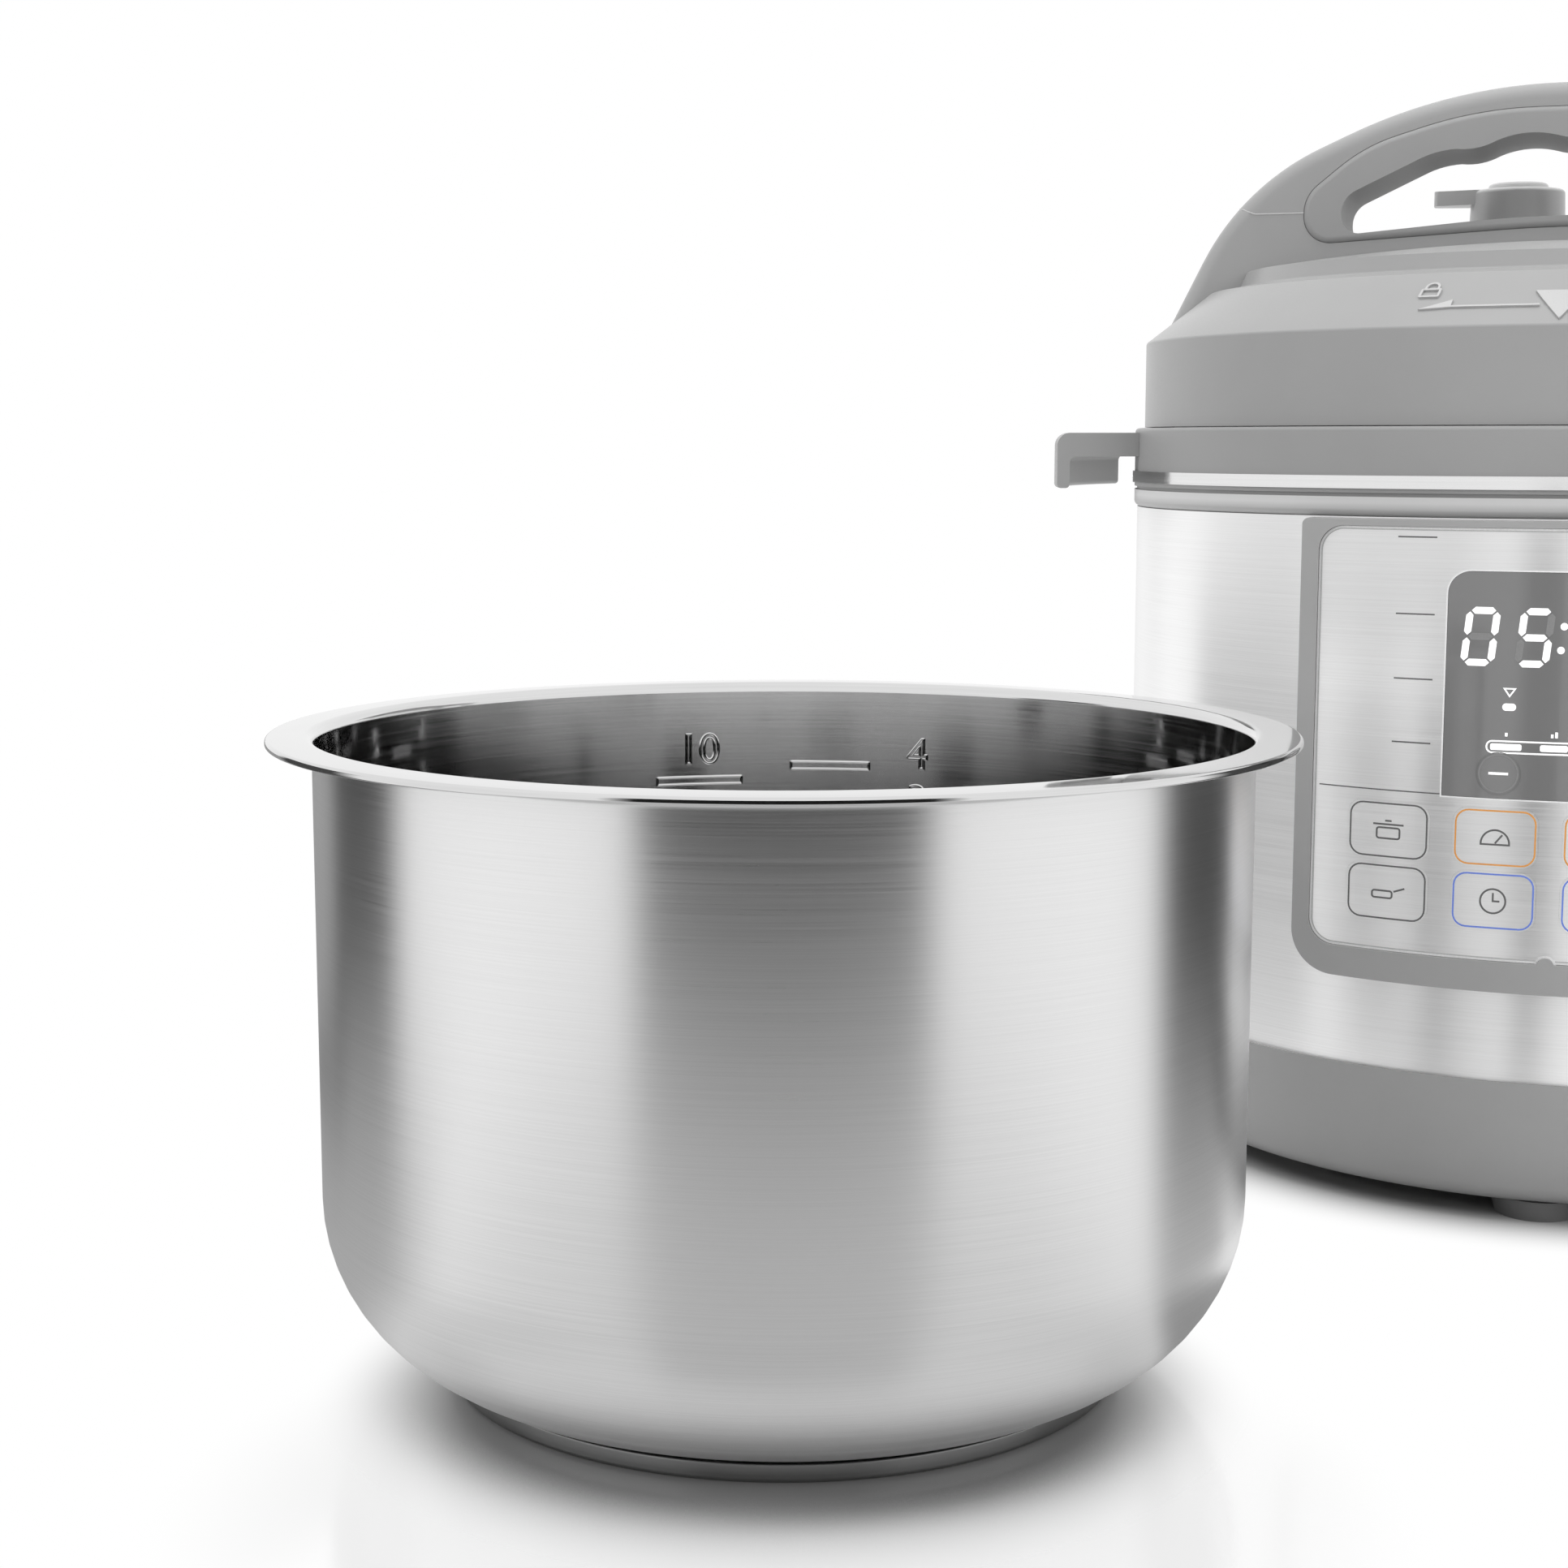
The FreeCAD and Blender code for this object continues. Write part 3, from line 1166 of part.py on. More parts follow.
def make_lid():
    """Lid cover and liner with lugs, sealing ring, gasket rack and the screws that hold them."""
    blank = revolved("lid_blank", [
        Corner("0", "lid_z"),
        Corner("lid_radius", "lid_z"),
        Corner("lid_radius", "shoulder_z", "shoulder_edge"),
        Corner("ledge_radius", "ledge_z", "shoulder_edge"),
        Corner("step_radius", "step_z", "shoulder_edge"),
        Corner("dome_radius", "dome_z"),
        Arc("dome_curve", True),
        Corner("0", "dome_top"),
    ])
    hollow = revolved("lid_hollow", [
        Corner("0", "lid_z - cut_past"),
        Corner("lid_radius - lid_wall", "lid_z - cut_past"),
        Corner("lid_radius - lid_wall", "shoulder_z - lid_wall / 2"),
        Corner("ledge_radius - lid_wall / 2", "ledge_z - lid_wall"),
        Corner("step_radius - lid_wall", "step_z - lid_wall"),
        Corner("hollow_radius", "dome_z - lid_wall"),
        Arc("hollow_curve", True),
        Corner("0", "hollow_top"),
    ])
    shell = cut("lid_shell", blank, hollow)
    screws = round_places(SCREW_COUNT, "boss_circle", 45)
    boss_top = "hollow_top + lid_wall / 2 - " + sag("hollow_curve", "boss_circle")
    bosses = [rod("lid_boss", "boss_radius", f"{boss_top} - boss_z", x, y, "boss_z") for x, y in screws]
    seat = rod("valve_seat", "seat_radius", "seat_top - hollow_top + " + sag("hollow_curve", "valve_reach"),
               "valve_x", "valve_y", "hollow_top - " + sag("hollow_curve", "valve_reach"))
    solid = joined("lid_solid", shell, seat, *bosses)
    boss_holes = [rod("boss_hole", "screw_hole", "lid_screw_length + cut_past", x, y, "lid_screw_z")
                  for x, y in screws]
    pipe_hole = rod("cover_pipe_hole", "pipe_hole", "dome_top", "valve_x", "valve_y", "liner_dome_z")
    guide_hole = rod("cover_guide_hole", "guide_hole", "dome_top", "float_x", "float_y", "liner_dome_z")
    piece(cut("lid_cut", solid, pipe_hole, guide_hole, *boss_holes), "lid_cover")

    liner = revolved("liner_turned", [
        Corner("liner_bore", "lid_lug_z"),
        Corner("liner_radius", "lid_lug_z"),
        Corner("liner_radius", "brim_top", "liner_bend"),
        Corner("liner_hat_radius", "brim_top", "liner_bend - liner_wall"),
        Corner("liner_dome_radius", "liner_dome_z"),
        Arc("liner_curve", True),
        Corner("0", "liner_top"),
        Corner("0", "liner_top - liner_wall"),
        Arc("liner_under_curve", False),
        Corner("liner_under_radius", "liner_dome_z - liner_wall"),
        Corner("liner_hat_radius - liner_wall", "brim_z", "liner_bend"),
        Corner("liner_bore", "brim_z", "liner_bend - liner_wall"),
    ])
    half_turn = f"{180 / LUG_COUNT}"
    lug = pad_on(liner, "XY_Plane", sector("liner_radius - liner_wall / 2", "trough_radius - lug_gap",
                                           half_turn, "lug_angle"), "lug_thickness", "lid_lug_z")
    repeated(liner, lug, LUG_COUNT)
    liner_holes = [rod("liner_screw_hole", "screw_hole", "liner_hat_height * 2", x, y, "brim_z")
                   for x, y in screws]
    liner_pipe = rod("liner_pipe_hole", "pipe_hole", "liner_hat_height * 2", "valve_x", "valve_y", "brim_z")
    liner_float = rod("liner_float_hole", "float_radius + running_gap", "liner_hat_height * 2",
                      "float_x", "float_y", "brim_z")
    piece(cut("liner_cut", liner, liner_pipe, liner_float, *liner_holes), "lid_liner")
    piece(group("lid_screw_group", [screw("lid_screw", x, y, "lid_screw_z", "lid_screw_length")
                                    for x, y in screws]), "lid_screws")

    piece(revolved("seal_turned", [
        Corner("seal_radius - seal_width", "seal_z", "seal_edge"),
        Corner("seal_radius", "seal_z", "seal_edge"),
        Corner("seal_radius", "seal_top", "seal_edge"),
        Corner("seal_radius - seal_back", "seal_top", "seal_edge"),
        Corner("seal_radius - seal_back", "seal_z + seal_lip", "seal_edge"),
        Corner("seal_radius - seal_width", "seal_z + seal_lip", "seal_edge"),
    ]), "sealing_ring")
    hoop = doc.addObject("Part::Torus", "rack_hoop")
    bind(hoop, Radius1="rack_circle", Radius2="rack_wire")
    place(hoop, z="rack_z")
    clips = [rod("rack_clip", "rack_clip_radius", "brim_z - rack_z", x, y, "rack_z")
             for x, y in round_places(RACK_CLIP_COUNT, "rack_circle", 30)]
    piece(joined("rack_fused", hoop, *clips), "gasket_rack")


def make_valves():
    """Steam release with pipe, filter and knob, and the float valve with guide and cap."""
    pipe = revolved("pipe_turned", [
        Corner("pipe_bore", "pipe_z"),
        Corner("pipe_radius", "pipe_z"),
        Corner("pipe_radius", "filter_top"),
        Corner("pipe_flange_radius", "filter_top"),
        Corner("pipe_flange_radius", "pipe_flange_z"),
        Corner("pipe_radius", "pipe_flange_z"),
        Corner("pipe_radius", "pipe_top"),
        Corner("pipe_bore", "pipe_top"),
    ])
    piece(place(pipe, "valve_x", "valve_y"), "exhaust_pipe")

    sieve = revolved("filter_turned", [
        Corner("pipe_hole", "filter_top - filter_wall"),
        Corner("filter_radius - filter_wall", "filter_top - filter_wall"),
        Corner("filter_radius - filter_wall", "filter_top - filter_height"),
        Corner("filter_radius", "filter_top - filter_height"),
        Corner("filter_radius", "filter_top", "filter_wall"),
        Corner("pipe_hole", "filter_top"),
    ])
    slot = pocket_through(sieve, "XZ_Plane", rectangle(
        "-filter_slot / 2", "filter_slot / 2", "filter_top - filter_height - cut_past",
        "filter_top - filter_crown", None, f"filter_slot * {SLOT_ROUND}"))
    repeated(sieve, slot, FILTER_SLOT_COUNT)
    piece(place(sieve, "valve_x", "valve_y"), "steam_filter")

    knob = revolved("knob_turned", [
        Corner("knob_bore", "knob_z"),
        Corner("knob_radius", "knob_z", "knob_edge"),
        Corner("knob_top_radius", "knob_top", "knob_edge"),
        Corner("knob_cap_radius", "knob_top"),
        Corner("knob_cap_radius - knob_edge / 2", "knob_top + knob_cap_height", "knob_edge"),
        Corner("0", "knob_top + knob_cap_height"),
        Corner("0", "pipe_top + fit_gap"),
        Corner("knob_bore", "pipe_top + fit_gap"),
    ])
    pad_on(knob, "XY_Plane", [
        Corner("-lever_length", "-lever_tip_width / 2", "lever_tip_round"),
        Corner("-knob_cap_radius", "-lever_root_width / 2"),
        Corner("-knob_cap_radius", "lever_root_width / 2"),
        Corner("-lever_length", "lever_tip_width / 2", "lever_tip_round"),
    ], "lever_thickness", "knob_top - lever_thickness")
    piece(place(knob, "valve_x", "valve_y"), "steam_knob")

    guide = tube("guide_tube", "float_radius + running_gap", "guide_radius", "guide_z", "guide_top")
    piece(place(guide, "float_x", "float_y"), "float_guide")
    foot_z = "float_cap_top - float_cap_height"
    pin = revolved("float_turned", [
        Corner("0", f"{foot_z} - float_foot_height"),
        Corner("float_head_radius", f"{foot_z} - float_foot_height"),
        Corner("float_head_radius", foot_z),
        Corner("float_radius", foot_z),
        Corner("float_radius", "float_head_z"),
        Corner("float_head_radius", "float_head_z"),
        Corner("float_head_radius", "float_head_z + float_head_height"),
        Corner("0", "float_head_z + float_head_height"),
    ])
    piece(place(pin, "float_x", "float_y"), "float_pin")
    cap = tube("float_cap_tube", "float_radius + fit_gap", "float_cap_radius", foot_z, "float_cap_top")
    piece(place(cap, "float_x", "float_y"), "float_cap")


def insert_outline():
    """The outer outline of the grip insert, which the arch and the handle base follow."""
    return [Corner("-insert_half", "insert_floor", "insert_floor_round"),
            Corner("0", "insert_floor_mid", "insert_floor_bow"),
            Corner("insert_half", "insert_floor", "insert_floor_round"),
            Corner("insert_half", "insert_knee", "insert_knee_round"),
            Corner("insert_bend_half", "insert_bend", "insert_bend_round"),
            Corner("insert_crown_half", "insert_crown", "insert_crown_round"),
            Corner("-insert_crown_half", "insert_crown", "insert_crown_round"),
            Corner("-insert_bend_half", "insert_bend", "insert_bend_round"),
            Corner("-insert_half", "insert_knee", "insert_knee_round")]


def opening_outline():
    """The finger opening of the handle, with scallops along its upper side."""
    bump, near = "scallop_bump / 2", "(scallop_pitch - scallop_bump / 2)"
    far, end = "(scallop_pitch + scallop_bump / 2)", "scallop_end_half"
    mid_z, near_z = "scallop_z", "scallop_z - scallop_fall"
    far_z, end_z = "scallop_z - scallop_far_fall", "scallop_z - scallop_end_fall"
    dip, rise = Arc("scallop_dip_radius", True), Arc("scallop_bump_radius", False)
    return [Corner("-opening_half", "opening_floor", "opening_floor_round"),
            Corner("0", "opening_floor_mid", "opening_floor_bow"),
            Corner("opening_half", "opening_floor", "opening_floor_round"),
            Corner("opening_half", "opening_knee", "opening_knee_round"),
            Corner(end, end_z), dip, Corner(far, far_z), rise, Corner(near, near_z), dip,
            Corner(bump, mid_z), rise, Corner(f"-{bump}", mid_z), dip, Corner(f"-{near}", near_z), rise,
            Corner(f"-{far}", far_z), dip, Corner(f"-{end}", end_z),
            Corner("-opening_half", "opening_knee", "opening_knee_round")]


def on_side(edge, width):
    """Whether an edge lies in one of the two flat sides of a handle piece."""
    box = edge.BoundBox
    return box.YLength < TOUCH and abs(abs(box.YMin) - value(width) / 2) < TOUCH


def make_handle():
    """Lid handle: the arch above the seam, the base that sits on the lid, and the grip insert."""
    foot_z = "dome_top - arch_foot_drop"
    whole = padded("handle_whole", "XZ_Plane", [
        Corner("-arch_foot_half", foot_z),
        Corner("arch_foot_half", foot_z),
        Corner("arch_knee_half", "arch_knee", "arch_knee_round"),
        Corner("arch_crown_half", "arch_crown", "arch_crown_round"),
        Corner("-arch_crown_half", "arch_crown", "arch_crown_round"),
        Corner("-arch_knee_half", "arch_knee", "arch_knee_round"),
    ], "arch_width", both=True)
    lowest = value(foot_z)
    rounded(whole, "arch_edge", lambda e: on_side(e, "arch_width") and e.BoundBox.ZMax > lowest + TOUCH)
    seam_end = "arch_foot_half + arch_edge"
    above = padded("handle_above_seam", "XZ_Plane", [
        Corner(f"-({seam_end})", "seam_z + seam_end_rise"),
        Corner("-seam_half", "seam_z", "seam_round"),
        Corner("seam_half", "seam_z", "seam_round"),
        Corner(seam_end, "seam_z + seam_end_rise"),
        Corner(seam_end, "arch_crown + arch_edge"),
        Corner(f"-({seam_end})", "arch_crown + arch_edge"),
    ], "arch_width * 2", both=True)
    insert_room = padded("insert_room", "XZ_Plane", insert_outline(), "arch_width * 2", both=True)
    frame = cut("handle_frame", whole, insert_room)
    piece(shared("arch_shared", frame, above), "handle_arch")
    piece(cut("handle_base_cut", frame, above, doc.getObject("lid_blank")), "handle_base")

    ring = padded("insert_body", "XZ_Plane", insert_outline(), "arch_width + 2 * insert_proud", both=True)
    rounded(ring, "insert_edge", lambda e: on_side(e, "arch_width + 2 * insert_proud"))
    opening = padded("insert_opening", "XZ_Plane", opening_outline(), "arch_width * 2", both=True)
    piece(cut("insert_cut", ring, opening), "grip_insert")


def make_pot():
    """Inner pot: drawn shell with flanged rim, aluminium core and steel cap under its floor."""
    shell = revolved("pot_turned", [
        Corner("0", "pot_base_height"),
        Corner("pot_radius", "pot_base_height", "pot_corner"),
        Corner("pot_radius", "pot_under_rim", "pot_rim_bend + pot_wall"),
        Corner("pot_rim_radius - pot_rim_thickness", "pot_under_rim - pot_rim_slope"),
        Corner("pot_rim_radius - pot_rim_thickness", "pot_rim_edge - pot_lip_height"),
        Corner("pot_rim_radius", "pot_rim_edge - pot_lip_height", "pot_lip_edge"),
        Corner("pot_rim_radius", "pot_rim_edge", "pot_lip_edge * 2"),
        Corner("pot_bore", "pot_height", "pot_rim_bend"),
        Corner("pot_bore", "pot_floor", "pot_corner - pot_wall"),
        Corner("0", "pot_floor"),
    ])
    piece(place(shell, "pot_x", "pot_y"), "pot_shell")
    core = revolved("core_turned", rectangle("0", "pot_core_radius", "pot_cap_wall", "pot_base_height"))
    piece(place(core, "pot_x", "pot_y"), "pot_base_core")
    cap = revolved("cap_turned", [
        Corner("0", "0"),
        Corner("pot_base_radius", "0", "pot_cap_corner"),
        Corner("pot_base_radius", "pot_cap_height"),
        Corner("pot_base_radius - pot_cap_wall", "pot_cap_height"),
        Corner("pot_base_radius - pot_cap_wall", "pot_cap_wall"),
        Corner("0", "pot_cap_wall"),
    ])
    piece(place(cap, "pot_x", "pot_y"), "pot_base_cap")


def write_pieces():
    """Check every object of the document, then write each sub-part to its own file."""
    doc.recompute()
    faulty = [o.Name for o in doc.Objects if "Invalid" in o.State or "Error" in o.State]
    for thing in pieces:
        if thing.Shape.isNull() or not thing.Shape.isValid() or not thing.Shape.Solids:
            faulty.append(thing.Label)
    if faulty:
        raise RuntimeError("faulty objects: " + ", ".join(faulty))
    os.makedirs("parts", exist_ok=True)
    for thing in pieces:
        thing.Shape.exportStep(f"parts/{thing.Label}.step")
        print(f"{thing.Label}: {len(thing.Shape.Solids)} solids, {thing.Shape.Volume / 1000:.1f} cm3")
    print(f"{len(pieces)} sub-parts")


make_base()
make_shell()
make_chamber()
make_power_board()
make_inlet()
make_panel()
make_control_board()
make_cup()
make_lid()
make_valves()
make_handle()
make_pot()
write_pieces()
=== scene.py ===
import json
import math

import bmesh
import bpy
from mathutils import Matrix, Vector


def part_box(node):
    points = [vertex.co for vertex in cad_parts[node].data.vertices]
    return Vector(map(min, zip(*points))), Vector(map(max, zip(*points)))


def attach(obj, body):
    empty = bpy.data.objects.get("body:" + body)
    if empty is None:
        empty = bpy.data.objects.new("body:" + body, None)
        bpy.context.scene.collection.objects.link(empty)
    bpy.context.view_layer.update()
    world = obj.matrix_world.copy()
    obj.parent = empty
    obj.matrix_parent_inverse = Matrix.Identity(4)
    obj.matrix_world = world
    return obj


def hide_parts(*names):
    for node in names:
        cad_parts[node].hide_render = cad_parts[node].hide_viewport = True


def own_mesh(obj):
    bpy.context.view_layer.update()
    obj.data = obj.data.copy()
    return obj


# Electric pressure cooker with its steel inner pot standing in front of it.
# Pieces are modelled in millimetres, and add_piece brings them to the frame's metres.

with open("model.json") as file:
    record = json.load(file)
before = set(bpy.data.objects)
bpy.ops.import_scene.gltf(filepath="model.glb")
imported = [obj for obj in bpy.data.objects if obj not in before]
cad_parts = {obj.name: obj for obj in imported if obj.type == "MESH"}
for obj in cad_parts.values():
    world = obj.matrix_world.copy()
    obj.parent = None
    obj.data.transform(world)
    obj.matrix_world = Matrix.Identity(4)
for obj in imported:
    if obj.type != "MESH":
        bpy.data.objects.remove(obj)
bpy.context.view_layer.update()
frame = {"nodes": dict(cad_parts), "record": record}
scene = bpy.context.scene

MM = 0.001
FULL_TURN = 2 * math.pi
RIGHT_ANGLE = math.radians(90)
SPIN_STEPS = 192
CREASE = math.radians(32)
MERGE_DISTANCE = 0.002
WELD_DISTANCE = 2e-6
NOISE_LOW = 0.3
NOISE_HIGH = 0.7


def node_box(name):
    """Lowest and highest corner of a frame node, in millimetres."""
    low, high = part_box(name)
    return low / MM, high / MM


# Places and sizes read from the frame.
POT_LOW, POT_HIGH = node_box("pot_shell")
POT_AXIS = (POT_LOW + POT_HIGH) / 2
POT_RIM_RADIUS = (POT_HIGH.x - POT_LOW.x) / 2
POT_TOP = POT_HIGH.z
POT_FLOOR = POT_LOW.z
CAP_LOW, CAP_HIGH = node_box("pot_base_cap")
CAP_RADIUS = (CAP_HIGH.x - CAP_LOW.x) / 2
FACE_LOW, FACE_HIGH = node_box("face_plate")
FACE_RADIUS = -FACE_LOW.y
TRIM_BOTTOM = node_box("trim_ring")[0].z
DISPLAY_LOW, DISPLAY_HIGH = node_box("display_window")
LID_RADIUS = node_box("lid_cover")[1].x
COOKER_AXIS = Vector((0.0, 0.0, 0.0))

# Where the photograph is taken from, straight in front of the panel, and the level way to the pot.
CAMERA_PLACE = Vector((0.0, -853.0, 221.0))
AHEAD = (POT_AXIS - CAMERA_PLACE).xy.normalized()

# Inner pot, millimetres.
POT_RADIUS = 110.4
POT_WALL = 0.8
POT_CORNER = 42
POT_RIM_THICKNESS = 1.0
POT_RIM_SLOPE = 0.3
POT_RIM_BEND = 2.6
POT_LIP_HEIGHT = 1.6
POT_LIP_EDGE = 0.45
POT_SPIN_STEPS = 256
POT_ARC_STEPS = 14
FLOOR_TILT = 0.1
CAP_CORNER = 1.2
CAP_WALL = 0.7
CAP_ARC_STEPS = 6

# Level marks pressed into the back of the pot's wall.
MARK_RIDGE = 0.4
MARK_SINK = 0.1
MARK_HEIGHT = 8.5
MARK_STEP = 3.0
TEXT_SHARE = 1.4
ROD_STEPS = 12
BALL_STEPS = 8
LEVEL_NUMBERS = (("4", 38, 134), ("10", -24, 135), ("3", 38, 121))
LEVEL_LINES = ((2, 24, 129.6, 131.6), (-36, -12, 125.6, 127.6), (2, 24, 118.5, 120.5))

# Prints on the panel, the keys and the display.
PRINT_THICKNESS = 0.06
PRINT_STEP = 2.5
DIVIDE_ROUNDS = 8
KEY_PROUD = 0.2
KEY_RADIUS = FACE_RADIUS + KEY_PROUD
OUTLINE_WIDTH = 0.45
OUTLINE_INSET = 0.35
KEY_CORNER = 4.0
SYMBOL_LINE = 0.5

# Film round the keys, painted highlight lines round the display, the face plate and the frame's tab, a
# painted shade line inside the face plate's, and the frame's tab.
KEY_GAP = 0.3
WEB_CLEARANCE = 0.02
WEB_STEPS = 12
ROUND_WEB_STEPS = 64
DISPLAY_CORNER = 6.0
# Widths of the painted highlight lines and the painted shade line round the display and the face plate.
EDGE_HIGHLIGHT_LINE = 0.4
EDGE_GAP = 0.1
BEAD_HIGHLIGHT_LINE = 0.6
GROOVE_SHADE_LINE = 0.35
FACE_CORNER = 7.0
FRAME_PROUD = 1.0
TAB_RADIUS = 2.3
TAB_SINK = 0.5

# The collar's painted highlight: a lighter band below its groove, lightest at its top, where light falls on
# its rounded bead.
HIGHLIGHT_BAND_DROP = 2.3
HIGHLIGHT_BAND_HEIGHT = 5.6

# Lid shoulder, from its lower edge to its upper one.
SHOULDER_LOW_Z = 252.0
SHOULDER_HIGH_Z = 267.5
SHOULDER_RUN = 20.0
EMBOSS = 0.55


# Node trees of the materials.

def add_node(tree, kind, inputs=None, **settings):
    """Add a node, set its own settings, then set its inputs or link them to other nodes' outputs."""
    made = tree.nodes.new(kind)
    for name, setting in settings.items():
        setattr(made, name, setting)
    for key, given in (inputs or {}).items():
        if isinstance(given, bpy.types.NodeSocket):
            tree.links.new(given, made.inputs[key])
        else:
            made.inputs[key].default_value = given
    return made


def result_of(tree, kind, inputs=None, output=0, **settings):
    """An output of a new shader node."""
    return add_node(tree, "ShaderNode" + kind, inputs, **settings).outputs[output]


def new_material(name, **sockets):
    """A material with a Principled shader whose constant sockets are set."""
    material = bpy.data.materials.new(name)
    material.use_nodes = True
    tree = material.node_tree
    shader = tree.nodes["Principled BSDF"]
    for key, number in sockets.items():
        shader.inputs[key.replace("_", " ")].default_value = number
    return material, tree, shader


def grey(level):
    """An opaque grey."""
    return (level, level, level, 1.0)


def object_place(tree, stretch=(1.0, 1.0, 1.0)):
    """Object coordinates in metres, stretched along the axes."""
    place = result_of(tree, "TexCoord", output="Object")
    return result_of(tree, "Mapping", {"Vector": place, "Scale": stretch})


def noise(tree, place, scale, detail=2.0, roughness=0.5):
    """Noise of so many cells to the metre."""
    return result_of(tree, "TexNoise", {
        "Vector": place, "Scale": scale, "Detail": detail, "Roughness": roughness})


def math_node(tree, operation, first, second):
    """The result of an operation on two values."""
    return result_of(tree, "Math", {0: first, 1: second}, operation=operation)


def spread(tree, value, low, high, start=NOISE_LOW, end=NOISE_HIGH):
    """Bring a value, such as a noise, to a range."""
    return result_of(tree, "MapRange", {
        "Value": value, "From Min": start, "From Max": end, "To Min": low, "To Max": high})


def tint(tree, value, dark, light):
    """A colour between two, chosen by a noise value."""
    ramp = add_node(tree, "ShaderNodeValToRGB", {"Fac": value})
    for stop, place, colour in zip(ramp.color_ramp.elements, (NOISE_LOW, NOISE_HIGH), (dark, light)):
        stop.position = place
        stop.color = colour
    return ramp.outputs[0]


def shade(colour, share):
    """A colour made lighter or darker by a share."""
    return tuple(min(1.0, part * share) for part in colour[:3]) + (1.0,)


def mottle(tree, value, colour, dark_share, light_share):
    """A colour made a little darker or lighter by a noise value."""
    return tint(tree, value, shade(colour, dark_share), shade(colour, light_share))


def coat(tree, shader, colour, roughness):
    """Link a colour and a roughness to the shader."""
    tree.links.new(colour, shader.inputs["Base Color"])
    tree.links.new(roughness, shader.inputs["Roughness"])


def around(tree, value, level, swing):
    """A level that a noise value moves up and down."""
    return spread(tree, value, level - swing, level + swing)


def bump(tree, shader, height, depth, strength=1.0):
    """Raise the shader's surface by a height from 0 to 1, with a depth in millimetres."""
    raised = result_of(tree, "Bump", {"Height": height, "Distance": depth * MM, "Strength": strength})
    tree.links.new(raised, shader.inputs["Normal"])


def lay_grain(tree, shader, axis):
    """Lay the shader's grain round an upright axis, or from side to side where there is none."""
    direction = {0: 1.0}
    if axis is not None:
        place = result_of(tree, "TexCoord", output="Object")
        parts = add_node(tree, "ShaderNodeSeparateXYZ", {0: place}).outputs
        direction = {0: math_node(tree, "SUBTRACT", axis.y * MM, parts[1]),
                     1: math_node(tree, "SUBTRACT", parts[0], axis.x * MM)}
    world = result_of(tree, "VectorTransform", {0: result_of(tree, "CombineXYZ", direction)},
                      vector_type="VECTOR", convert_from="OBJECT", convert_to="WORLD")
    tree.links.new(world, shader.inputs["Tangent"])


def moulded_plastic(name, colour, roughness, grain=0.35, depth=0.02, gloss=0.0):
    """Moulded plastic: a fine grain, and cloudy changes of colour and gloss."""
    material, tree, shader = new_material(name, Coat_Weight=gloss, Coat_Roughness=0.22)
    place = object_place(tree)
    cloud = noise(tree, place, 18.0, 3.0)
    fine = noise(tree, place, 1 / (grain * MM), 2.0, 0.6)
    coat(tree, shader, mottle(tree, cloud, colour, 0.96, 1.04), around(tree, fine, roughness, 0.06))
    bump(tree, shader, fine, depth)
    return material


def brushed_steel(name, colour, roughness, axis=None, anisotropy=0.75, line=0.3, depth=0.002):
    """Steel with fine brush lines, round an upright axis or from side to side."""
    material, tree, shader = new_material(
        name, Metallic=1.0, Anisotropic=anisotropy, Anisotropic_Rotation=0.25)
    lines = noise(tree, object_place(tree, (12.0, 12.0, 1 / (line * MM))), 1.0, 3.0, 0.65)
    cloud = noise(tree, object_place(tree), 9.0, 2.0)
    uneven = math_node(tree, "ADD", around(tree, cloud, 0.0, 0.02), around(tree, lines, roughness, 0.04))
    coat(tree, shader, mottle(tree, lines, colour, 0.95, 1.03), uneven)
    bump(tree, shader, lines, depth)
    lay_grain(tree, shader, axis)
    return material


def plain_metal(name, colour, roughness, grain=0.8, depth=0.01):
    """Plated, drawn or cast metal with a faint grain."""
    material, tree, shader = new_material(name, Metallic=1.0)
    place = object_place(tree)
    cloud = noise(tree, place, 60.0, 3.0)
    fine = noise(tree, place, 1 / (grain * MM), 3.0)
    coat(tree, shader, mottle(tree, cloud, colour, 0.9, 1.05),
         spread(tree, fine, roughness - 0.06, roughness + 0.08))
    bump(tree, shader, fine, depth)
    return material


def turned_metal(name, colour, roughness, axis, ring=1.2, depth=0.02):
    """Metal turned on a lathe: fine rings round an upright axis."""
    material, tree, shader = new_material(name, Metallic=1.0, Anisotropic=0.6, Anisotropic_Rotation=0.25)
    centred = result_of(tree, "Mapping", {
        "Vector": result_of(tree, "TexCoord", output="Object"),
        "Location": (-axis.x * MM, -axis.y * MM, 0.0)})
    rings = result_of(tree, "TexWave", {
        "Vector": centred, "Scale": 1 / (ring * MM) / FULL_TURN, "Distortion": 1.5, "Detail": 2.0},
        wave_type="RINGS", rings_direction="Z", output=1)
    cloud = noise(tree, centred, 25.0, 3.0)
    coat(tree, shader, mottle(tree, cloud, colour, 0.92, 1.04),
         spread(tree, rings, roughness - 0.04, roughness + 0.06, 0.0, 1.0))
    bump(tree, shader, rings, depth)
    lay_grain(tree, shader, axis)
    return material


def soft_rubber(name, colour, roughness, depth=0.03, see_through=0.0):
    """Rubber or silicone: matt, slightly uneven, with light passing into it."""
    material, tree, shader = new_material(
        name, Subsurface_Weight=see_through, Subsurface_Scale=2 * MM, Specular_IOR_Level=0.35)
    place = object_place(tree)
    cloud = noise(tree, place, 40.0, 4.0)
    fine = noise(tree, place, 1400.0, 2.0)
    coat(tree, shader, mottle(tree, cloud, colour, 0.92, 1.06), around(tree, fine, roughness, 0.05))
    bump(tree, shader, fine, depth)
    return material


